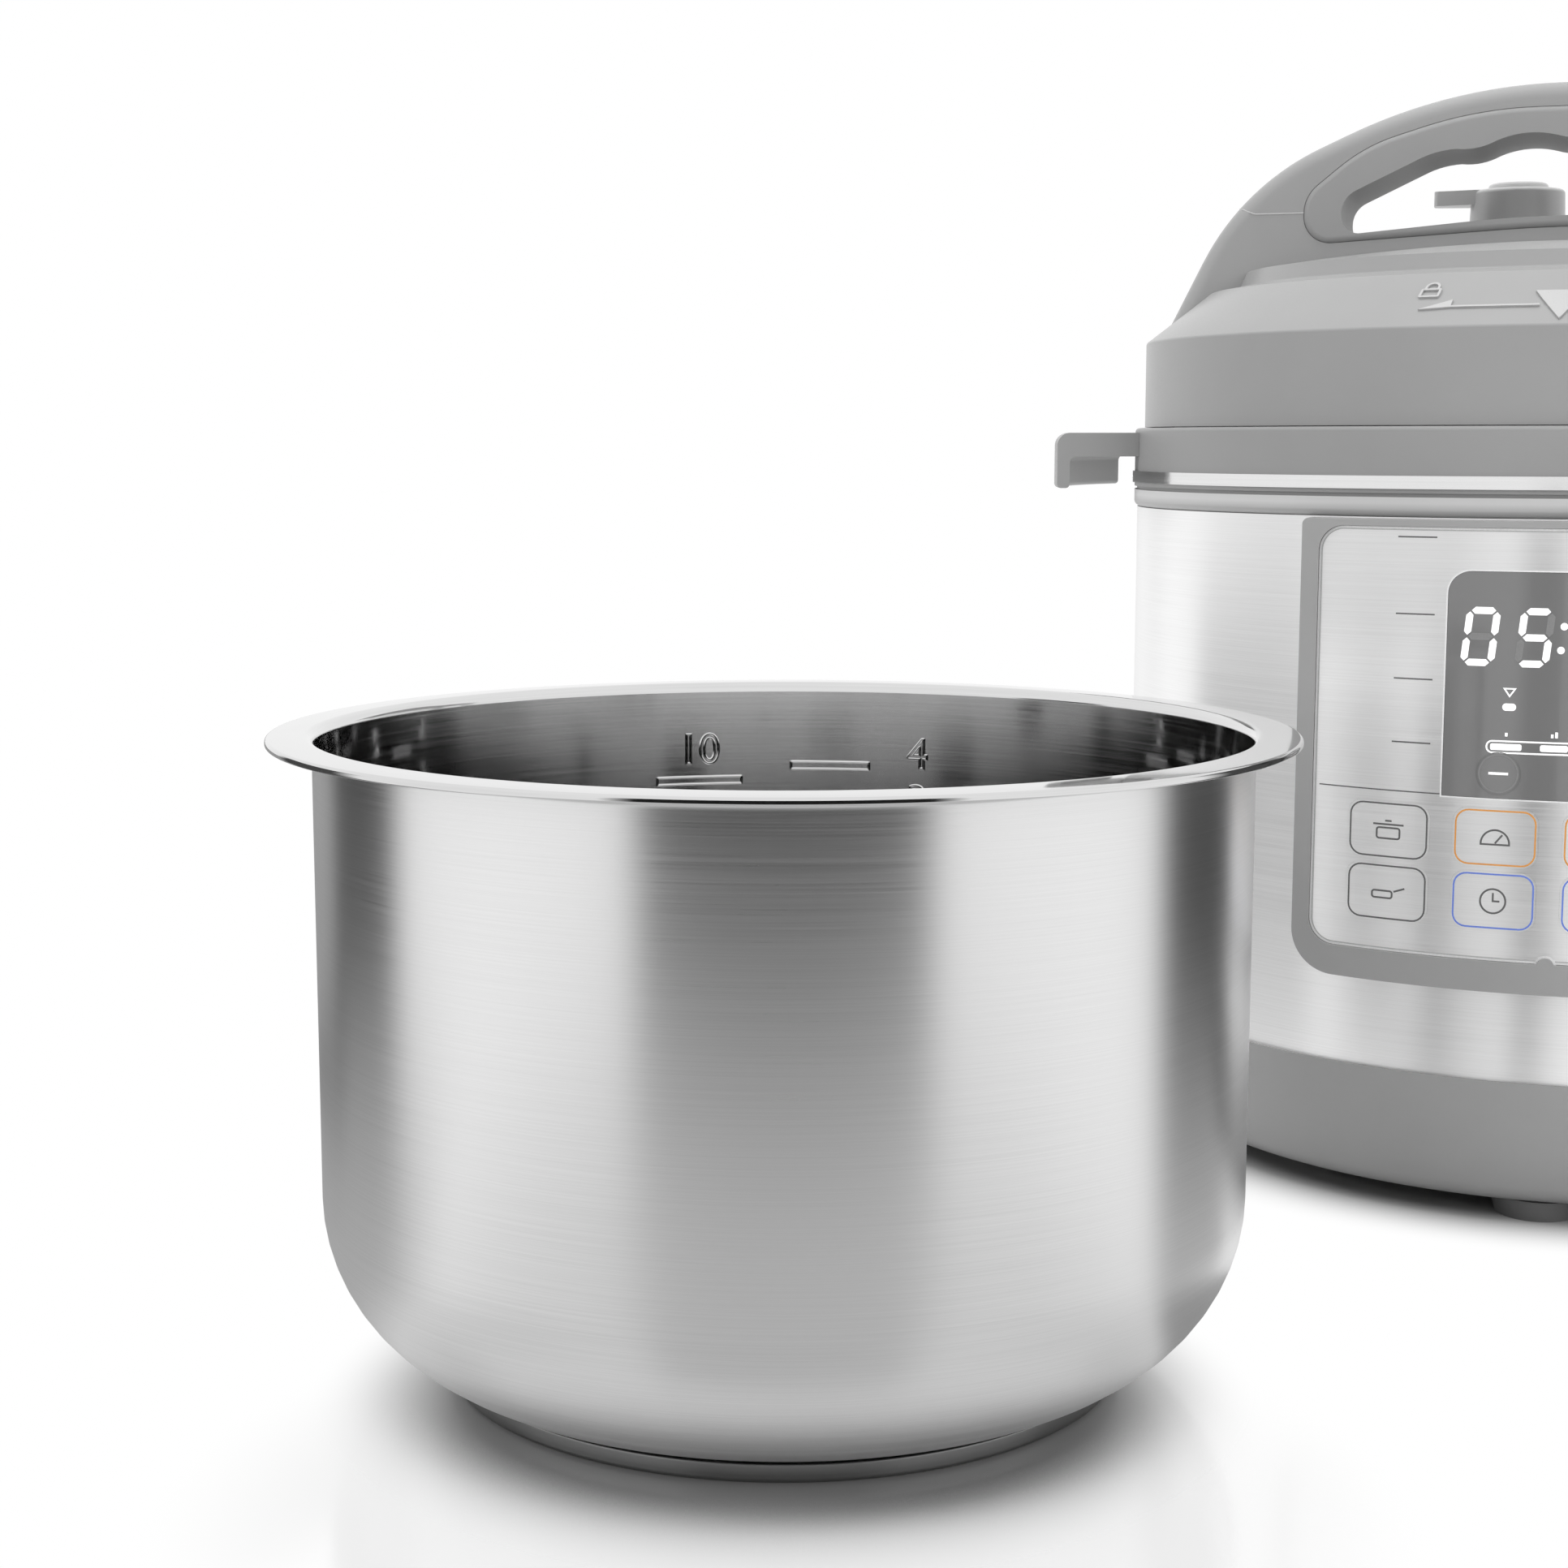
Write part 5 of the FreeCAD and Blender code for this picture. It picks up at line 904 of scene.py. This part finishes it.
def panel_lines():
    """Scale lines beside the display and the rule along its lower edge."""
    rule_inner = DISPLAY_HIGH.x + RULE_GAP
    rule_z = DISPLAY_LOW.z + RULE_RISE

    def lines(bm):
        for side in (-1, 1):
            for z in TICK_LEVELS:
                bar(bm, (side * TICK_INNER, z), (side * TICK_OUTER, z), TICK_LINE)
            bar(bm, (side * rule_inner, rule_z), (side * RULE_OUTER, rule_z), RULE_LINE)

    panel_print("panel_lines", lines, "base", "panel_steel", DARK_INK)


def key_webs():
    """Thin film that closes the gap round each key, level with the panel or the display."""
    reach = KEY_GAP - WEB_CLEARANCE
    width = KEY_GAP - 2 * WEB_CLEARANCE

    def square(bm):
        for key in KEY_SYMBOLS:
            outline(bm, *node_box(key), reach, KEY_CORNER, width, WEB_STEPS)

    def round_web(bm):
        for key in ("key_minus", "key_plus"):
            x, z, radius = key_middle(key)
            hollow(bm, disc(bm, x, z, radius + reach, ROUND_WEB_STEPS), width)

    panel_print("key_webs", square, "base", "panel_steel", FINISHES["panel_steel"])
    panel_print("round_key_webs", round_web, "base", "display_film", FINISHES["display_film"])


def panel_edge_highlights():
    """Painted highlight lines round the display, the face plate and the tab, a painted shade line just
    inside the face plate's, and the half-round tab on the frame.
    """
    tab_z = FACE_LOW.z - EDGE_GAP

    # Painted highlights along the display window's edge, the face plate's bead and the rim of the tab.
    def light(bm):
        outline(bm, DISPLAY_LOW, DISPLAY_HIGH, EDGE_GAP + EDGE_HIGHLIGHT_LINE, DISPLAY_CORNER, EDGE_HIGHLIGHT_LINE, WEB_STEPS,
                top_only=True)
        outline(bm, FACE_LOW, FACE_HIGH, 0.0, FACE_CORNER, BEAD_HIGHLIGHT_LINE, WEB_STEPS)
        half_ring(bm, 0.0, tab_z - TAB_SINK, TAB_RADIUS + BEAD_HIGHLIGHT_LINE, BEAD_HIGHLIGHT_LINE, (0, 0, -1))

    # A painted shade line just inside the face plate's highlight.
    def groove(bm):
        outline(bm, FACE_LOW, FACE_HIGH, -BEAD_HIGHLIGHT_LINE, FACE_CORNER, GROOVE_SHADE_LINE, WEB_STEPS)

    panel_print("panel_edge_highlights", light, "base", "panel_steel", EDGE_HIGHLIGHT_INK)
    panel_print("panel_groove_shade", groove, "base", "panel_steel", GROOVE_SHADE_INK)
    bm = bmesh.new()
    disc(bm, 0.0, tab_z - TAB_SINK, TAB_RADIUS)
    cut_off(bm, 0, tab_z, (0, 0, -1))
    thicken(bm, FRAME_PROUD)
    wrap_on_panel(bm, FACE_RADIUS + FRAME_PROUD)
    add_piece("frame_tab", bm, "base", "body_plastic")


# Raised marks on the lid's shoulder and light lines on the handle's seams, both in a lighter plastic that
# paints a highlight on them.

LOCK_HALF = 3.0
LOCK_DROP = 3.2
LOCK_RISE = 0.8
LOCK_CORNER = 0.6
LOCK_LINE = 0.7
SHACKLE_RISE = 1.5
SHACKLE_RADIUS = 2.2
SHACKLE_SIDE = 1.85
OPEN_SHIFT = 2.6
OPEN_FOOT = 0.9
MARKER_X = -3.0
MARKER_HALF = 6.6
MARKER_LOW, MARKER_TOP = 2.0, 15.0
ARROW_START, ARROW_HEAD, ARROW_TIP = 5.2, 28.4, 37.0
ARROW_Z = 8.5
HEAD_LOW, TIP_Z, HEAD_TOP = 8.15, 7.4, 11.6
PADLOCK_REACH = 36.0
PADLOCK_Z = 16.4
SEAM_LINE = 0.24
SEAM_POINTS = ((82.3, 22.0, 292.2), (97.4, 22.0, 292.2), (98.8, 21.95, 292.7),
               (101.35, 20.5, 293.85), (102.7, 17.0, 294.4))


def on_shoulder(bm):
    """Bend a flat mark, drawn looking along +Y with z measured up the slope, on to the lid's shoulder."""
    rise = SHOULDER_HIGH_Z - SHOULDER_LOW_Z
    slope = math.hypot(SHOULDER_RUN, rise)
    outward, upward = rise / slope, SHOULDER_RUN / slope
    middle = LID_RADIUS - SHOULDER_RUN / 2
    for vert in bm.verts:
        angle = vert.co.x / middle
        share = vert.co.z / slope
        reach = LID_RADIUS - SHOULDER_RUN * share - vert.co.y * outward
        height = SHOULDER_LOW_Z + rise * share - vert.co.y * upward
        vert.co = Vector((reach * math.sin(angle), -reach * math.cos(angle), height))


def draw_padlock(bm, x, z, is_open):
    """A padlock, shut or open."""
    case = rounded_plate(bm, (x - LOCK_HALF, z - LOCK_DROP), (x + LOCK_HALF, z + LOCK_RISE), LOCK_CORNER)
    hollow(bm, case, LOCK_LINE)
    middle = x + OPEN_SHIFT if is_open else x
    half_ring(bm, middle, z + SHACKLE_RISE, SHACKLE_RADIUS, LOCK_LINE, (0, 0, -1))
    for side in (-1, 1):
        foot = OPEN_FOOT if is_open and side > 0 else LOCK_RISE
        leg = middle + side * SHACKLE_SIDE
        bar(bm, (leg, z + foot), (leg, z + SHACKLE_RISE), LOCK_LINE)


def lid_marks():
    """A triangle, arrows to each side of it, and padlocks, raised on the shoulder, in a lighter plastic
    that paints a highlight on them.
    """
    bm = bmesh.new()
    x = MARKER_X
    plate(bm, [(x, MARKER_LOW), (x + MARKER_HALF, MARKER_TOP), (x - MARKER_HALF, MARKER_TOP)])
    for side, is_open in ((-1, False), (1, True)):
        neck = x + side * ARROW_HEAD
        bar(bm, (x + side * ARROW_START, ARROW_Z), (neck, ARROW_Z), LOCK_LINE)
        plate(bm, [(neck, HEAD_LOW), (x + side * ARROW_TIP, TIP_Z), (neck, HEAD_TOP)][::-side])
        draw_padlock(bm, x + side * PADLOCK_REACH, PADLOCK_Z, is_open)
    divide(bm, MARK_STEP)
    thicken(bm, EMBOSS * 2)
    bmesh.ops.translate(bm, verts=bm.verts, vec=(0, -EMBOSS, 0))
    on_shoulder(bm)
    add_piece("lid_marks", bm, "lid", "lid_plastic", HIGHLIGHT_MARK_PLASTIC)


def handle_seam_highlights():
    """A painted highlight: the fine light line round each leg of the handle, where its arch meets its base.
    """
    bm = bmesh.new()
    for side in (-1, 1):
        front = [Vector((side * x, -y, z)) for x, y, z in SEAM_POINTS]
        back = [Vector((side * x, y, z)) for x, y, z in SEAM_POINTS]
        line = front + back[::-1]
        for a, b in zip(line, line[1:]):
            rod_between(bm, a, b, SEAM_LINE)
    add_piece("handle_seam_highlights", bm, "lid", "lid_plastic", HIGHLIGHT_MARK_PLASTIC)


# Sensor spring.

SPRING_WIRE = 0.8
SPRING_TURNS = 5
SPRING_STEPS = 40
WIRE_STEPS = 16


def sensor_coil():
    """The coil spring under the sensor cup, which is pressed together as the cup sinks."""
    low, high = node_box("sensor_spring")
    radius = (high.x - low.x) / 2 - SPRING_WIRE
    rise = high.z - low.z - 2 * SPRING_WIRE
    steps = SPRING_TURNS * SPRING_STEPS
    bm = bmesh.new()
    upright = Matrix.Translation((radius, 0, low.z + SPRING_WIRE)) @ Matrix.Rotation(RIGHT_ANGLE, 4, "X")
    bmesh.ops.create_circle(bm, segments=WIRE_STEPS, radius=SPRING_WIRE, matrix=upright)
    bmesh.ops.spin(bm, geom=bm.verts[:] + bm.edges[:], cent=(0, 0, 0), axis=(0, 0, 1),
                   dvec=(0, 0, rise / steps), angle=SPRING_TURNS * FULL_TURN, steps=steps)
    bmesh.ops.edgeloop_fill(bm, edges=[edge for edge in bm.edges if edge.is_boundary])
    piece = add_piece("sensor_coil", bm, "base", "element_steel")
    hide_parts("sensor_spring")
    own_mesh(piece)


# Frame nodes.

def smooth_to_crease():
    """Geometry nodes that join a mesh's loose triangles and shade them smooth up to a crease."""
    group = bpy.data.node_groups.new("smooth_to_crease", "GeometryNodeTree")
    for way in ("INPUT", "OUTPUT"):
        group.interface.new_socket("Geometry", in_out=way, socket_type="NodeSocketGeometry")
    given = add_node(group, "NodeGroupInput").outputs[0]
    bare = add_node(group, "GeometryNodeRemoveAttribute", {"Geometry": given, "Name": "custom_normal"})
    whole = add_node(group, "GeometryNodeMergeByDistance", {
        "Geometry": bare.outputs[0], "Distance": WELD_DISTANCE})
    angle = add_node(group, "GeometryNodeInputMeshEdgeAngle").outputs[0]
    gentle = add_node(group, "FunctionNodeCompare", {0: angle, 1: CREASE}, operation="LESS_THAN").outputs[0]
    faces = add_node(group, "GeometryNodeSetShadeSmooth", {"Geometry": whole.outputs[0]}, domain="FACE")
    edges = add_node(group, "GeometryNodeSetShadeSmooth", {
        "Geometry": faces.outputs[0], "Shade Smooth": gentle}, domain="EDGE")
    add_node(group, "NodeGroupOutput", {0: edges.outputs[0]})
    return group


def dress_frame():
    """Give every frame node its finish and smooth shading."""
    group = smooth_to_crease()
    for part in frame["record"]["subparts"]:
        node = frame["nodes"][part["node"]]
        usual = FINISHES[part["material_slot"]]
        node.material_slots[0].material = OWN_FINISHES.get(part["node"], usual)
        node.modifiers.new("smooth", "NODES").node_group = group


# Stage: floor, lamps, dark cards and camera.

CAMERA_PITCH = 7.7
CAMERA_LENS = 58.3
SENSOR_WIDTH = 36.0
FLOOR_RADIUS = 6.0
FLOOR_STEPS = 96
FLOOR_ROUGHNESS = 0.14
SHADOW_TONE = 0.3
FLOOR_TONE = 0.92
WORLD_LIGHT = 0.52
SHADOW_DEPTH = 0.09
SHADOW_LEAD = 25.0
POT_SHADOW = (0.07, 0.112)
COOKER_SHADOW = (0.112, 0.15)
# Parts of the floor that are dimmer in gloss: how far to the right of the pot and away from the camera,
# the distance to which each is at its dimmest, the one where it ends, its level, and the longest ray.
DIM_ZONES = (
    (0.0, -0.23, 0.15, 0.33, 0.6, 9.0),
    (-0.23, 0.12, 0.14, 0.25, 0.45, 9.0),
    (0.14, 0.0, 0.04, 0.07, 0.3, 0.09),
)
POLISH_SHARE = 0.25
POLISH_LEAD = 90.0
POLISH_FADE = (0.07, 0.135)
# Lamps: place, size and power.
LAMP_TARGET = (-0.12, -0.12, 0.15)
LAMPS = {
    "overhead_lamp": ((-0.1, -0.1, 1.9), (1.6, 1.6), 27.0),
    "left_lamp": ((-1.7, -1.1, 0.9), (1.0, 1.4), 12.0),
    "right_lamp": ((1.4, -1.4, 0.9), (1.0, 1.4), 12.0),
}
# Dark cards: two ends, then cover, soft share, rise, reach, height and share at the foot.
CARD_STEPS = 24
CARD_TONE = 0.02
POT_CARDS = {
    "front_card": ((-0.185, -0.3), (0.185, -0.3), 1.0, 0.12, 0.085, 0.33, 0.28, 0.0),
    "left_card": ((-0.23, -0.055), (-0.23, 0.1), 0.94, 0.2, 0.085, 0.33, 0.2, 0.0),
    "back_left_card": ((-0.235, 0.06), (-0.11, 0.34), 0.66, 0.05, 0.03, 0.38, 0.15, 0.0),
    "right_card": ((0.17, -0.072), (0.17, 0.03), 0.94, 0.2, 0.1, 0.14, 0.2, 0.5),
}
# Dark cards round the cooker: the place of each, and what they share.
COOKER_PLACE = (0.249, 0.217)
COOKER_CARDS = ((0.58, 0.16), (0.48, 0.45), (0.2, 0.55), (0.0, 0.43))
COOKER_CARD_HALF = 0.07
COOKER_CARD = (0.3, 0.45, 0.02, 0.26, 0.3, 0.0)


def seen_directly(tree):
    """1 for rays that show the surroundings: from the camera, in gloss and through clear things."""
    rays = add_node(tree, "ShaderNodeLightPath").outputs
    mirrored = math_node(tree, "MAXIMUM", rays["Is Camera Ray"], rays["Is Glossy Ray"])
    return math_node(tree, "MAXIMUM", mirrored, rays["Is Transmission Ray"])


def make_world():
    """White surroundings that light the object at a plain level."""
    world = bpy.data.worlds.new("studio")
    world.use_nodes = True
    tree = world.node_tree
    strength = spread(tree, seen_directly(tree), WORLD_LIGHT, 1.0, 0.0, 1.0)
    light = tree.nodes["Background"]
    light.inputs["Color"].default_value = grey(1.0)
    tree.links.new(strength, light.inputs["Strength"])
    scene.world = world


def away_from(tree, centre, span):
    """0 near an upright line through a centre, rising smoothly to 1 over a span of distances in metres."""
    place = result_of(tree, "TexCoord", output="Object")
    spot = (centre.x * MM, centre.y * MM, 0.0)
    gap = result_of(tree, "VectorMath", {0: place, 1: spot}, "Value", operation="DISTANCE")
    return result_of(tree, "MapRange", {"Value": gap, "From Min": span[0], "From Max": span[1]},
                     interpolation_type="SMOOTHSTEP")


def beside_pot(right, away):
    """A place on the floor in metres, so far to the right of the pot's axis and away from the camera."""
    across = Vector((AHEAD.y, -AHEAD.x))
    return POT_AXIS.xy * MM + across * right + AHEAD * away


def floor_gloss(tree, rays):
    """How bright the white floor is: less in gloss near its dim zones."""
    level = 1.0
    for right, away, full, faded, dimmed, reach in DIM_ZONES:
        beyond = math_node(tree, "GREATER_THAN", rays["Ray Length"], reach)
        outside = away_from(tree, beside_pot(right, away) / MM, (full, faded))
        undimmed = math_node(tree, "MAXIMUM", beyond, outside)
        level = math_node(tree, "MINIMUM", level, spread(tree, undimmed, dimmed, 1.0, 0.0, 1.0))
    return math_node(tree, "MAXIMUM", rays["Is Camera Ray"], level)


def mix_shaders(tree, share, first, second):
    """Two shaders mixed by a share of the second."""
    return result_of(tree, "MixShader", {0: share, 1: first, 2: second})


def floor_material():
    """Pale and polished near the object, where it keeps the shadows, with painted shadow darkening its
    colour where it is closed in, and plain white farther away.
    """
    material, tree, shader = new_material("floor", Roughness=FLOOR_ROUGHNESS)
    # Painted shadow: the floor's colour darkens from its pale tone to the shadow tone where ambient
    # occlusion finds it closed in.
    openness = result_of(tree, "AmbientOcclusion", {"Distance": SHADOW_DEPTH}, output="AO")
    tree.links.new(tint(tree, openness, grey(SHADOW_TONE), grey(FLOOR_TONE)), shader.inputs["Base Color"])
    past_pot = away_from(tree, POT_AXIS.xy - AHEAD * SHADOW_LEAD, POT_SHADOW)
    past_cooker = away_from(tree, COOKER_AXIS, COOKER_SHADOW)
    shadowless = math_node(tree, "MINIMUM", past_pot, past_cooker)
    level = floor_gloss(tree, add_node(tree, "ShaderNodeLightPath").outputs)
    white = result_of(tree, "Emission", {"Color": grey(1.0), "Strength": level})
    polish = result_of(tree, "BsdfGlossy", {"Color": grey(1.0), "Roughness": FLOOR_ROUGHNESS})
    unpolished = away_from(tree, POT_AXIS.xy - AHEAD * POLISH_LEAD, POLISH_FADE)
    bright = mix_shaders(tree, spread(tree, unpolished, POLISH_SHARE, 0.0, 0.0, 1.0), white, polish)
    plain = math_node(tree, "MULTIPLY", shadowless, seen_directly(tree))
    above = mix_shaders(tree, plain, shader.outputs[0], bright)
    underneath = result_of(tree, "NewGeometry", output="Backfacing")
    clear = result_of(tree, "BsdfTransparent")
    one_sided = mix_shaders(tree, underneath, above, clear)
    tree.links.new(one_sided, tree.nodes["Material Output"].inputs["Surface"])
    return material


def make_floor():
    """Floor that fades into the white surroundings, and is clear from below to show the underside."""
    bm = bmesh.new()
    bmesh.ops.create_circle(bm, cap_ends=True, segments=FLOOR_STEPS, radius=FLOOR_RADIUS)
    floor = make_object("floor", bm, floor_material())


def soft_box(name, place, size, power):
    """A soft lamp that faces the object, and doesn't show in gloss."""
    lamp = bpy.data.lights.new(name, "AREA")
    lamp.shape = "RECTANGLE"
    lamp.size, lamp.size_y = size
    lamp.energy = power
    holder = bpy.data.objects.new(name, lamp)
    holder.location = place
    holder.rotation_mode = "QUATERNION"
    holder.rotation_quaternion = (Vector(LAMP_TARGET) - Vector(place)).to_track_quat("-Z", "Y")
    holder.visible_glossy = False
    scene.collection.objects.link(holder)


def card_material(name, reach):
    """Dark where the card covers, and only for rays no longer than a reach."""
    material, tree, shader = new_material(name, Roughness=1.0, Specular_IOR_Level=0.0)
    shader.inputs["Base Color"].default_value = grey(CARD_TONE)
    near = math_node(tree, "LESS_THAN", result_of(tree, "LightPath", output="Ray Length"), reach)
    dark = result_of(tree, "Attribute", attribute_name="cover", output="Fac")
    shown = math_node(tree, "MULTIPLY", near, dark)
    clear = result_of(tree, "BsdfTransparent")
    both = mix_shaders(tree, shown, clear, shader.outputs[0])
    tree.links.new(both, tree.nodes["Material Output"].inputs["Surface"])
    return material


def dark_card(name, start, end, cover, soft, rise, reach, top, foot_share):
    """A dark card that shows only in nearby gloss, between two places (right, away) beside the pot.

    Its sides fade over a soft share of its width. It grows from its foot's share to full cover at its rise.
    """
    foot, along = beside_pot(*start), beside_pot(*end)
    bm = bmesh.new()
    bmesh.ops.create_grid(bm, x_segments=CARD_STEPS, y_segments=CARD_STEPS, size=0.5)
    covered = bm.verts.layers.float.new("cover")
    for vert in bm.verts:
        share, height = vert.co.x + 0.5, top * (vert.co.y + 0.5)
        side = min(1.0, min(share, 1 - share) / soft)
        vert[covered] = cover * side * (foot_share + (1 - foot_share) * min(1.0, height / rise))
        vert.co = foot.lerp(along, share).to_3d() + Vector((0, 0, height))
    card = make_object(name, bm, card_material(name, reach))
    for kind in ("camera", "diffuse", "shadow", "transmission", "volume_scatter"):
        setattr(card, f"visible_{kind}", False)


def make_studio():
    """World, floor, lamps and cards."""
    make_world()
    make_floor()
    for name, lamp in LAMPS.items():
        soft_box(name, *lamp)
    for name, card in POT_CARDS.items():
        dark_card(name, *card)
    for i, place in enumerate(COOKER_CARDS):
        middle = Vector(place)
        side = middle - Vector(COOKER_PLACE)
        half = Vector((-side.y, side.x)).normalized() * COOKER_CARD_HALF
        dark_card(f"cooker_card_{i + 1}", middle - half, middle + half, *COOKER_CARD)


def make_camera():
    """The photograph's view: over the pot, with the cooker behind it at the right."""
    lens = bpy.data.cameras.new("camera")
    lens.sensor_width = SENSOR_WIDTH
    lens.lens = CAMERA_LENS
    camera = bpy.data.objects.new("camera", lens)
    camera.location = CAMERA_PLACE * MM
    aim = POT_AXIS - CAMERA_PLACE
    camera.rotation_euler = (math.radians(90 - CAMERA_PITCH), 0, math.atan2(-aim.x, aim.y))
    scene.collection.objects.link(camera)
    scene.camera = camera


dress_frame()
pot_shell()
pot_base()
level_marks()
display_marks()
round_key_marks()
key_prints()
panel_lines()
key_webs()
panel_edge_highlights()
lid_marks()
handle_seam_highlights()
sensor_coil()
make_studio()
make_camera()
scene.view_settings.view_transform = "Standard"
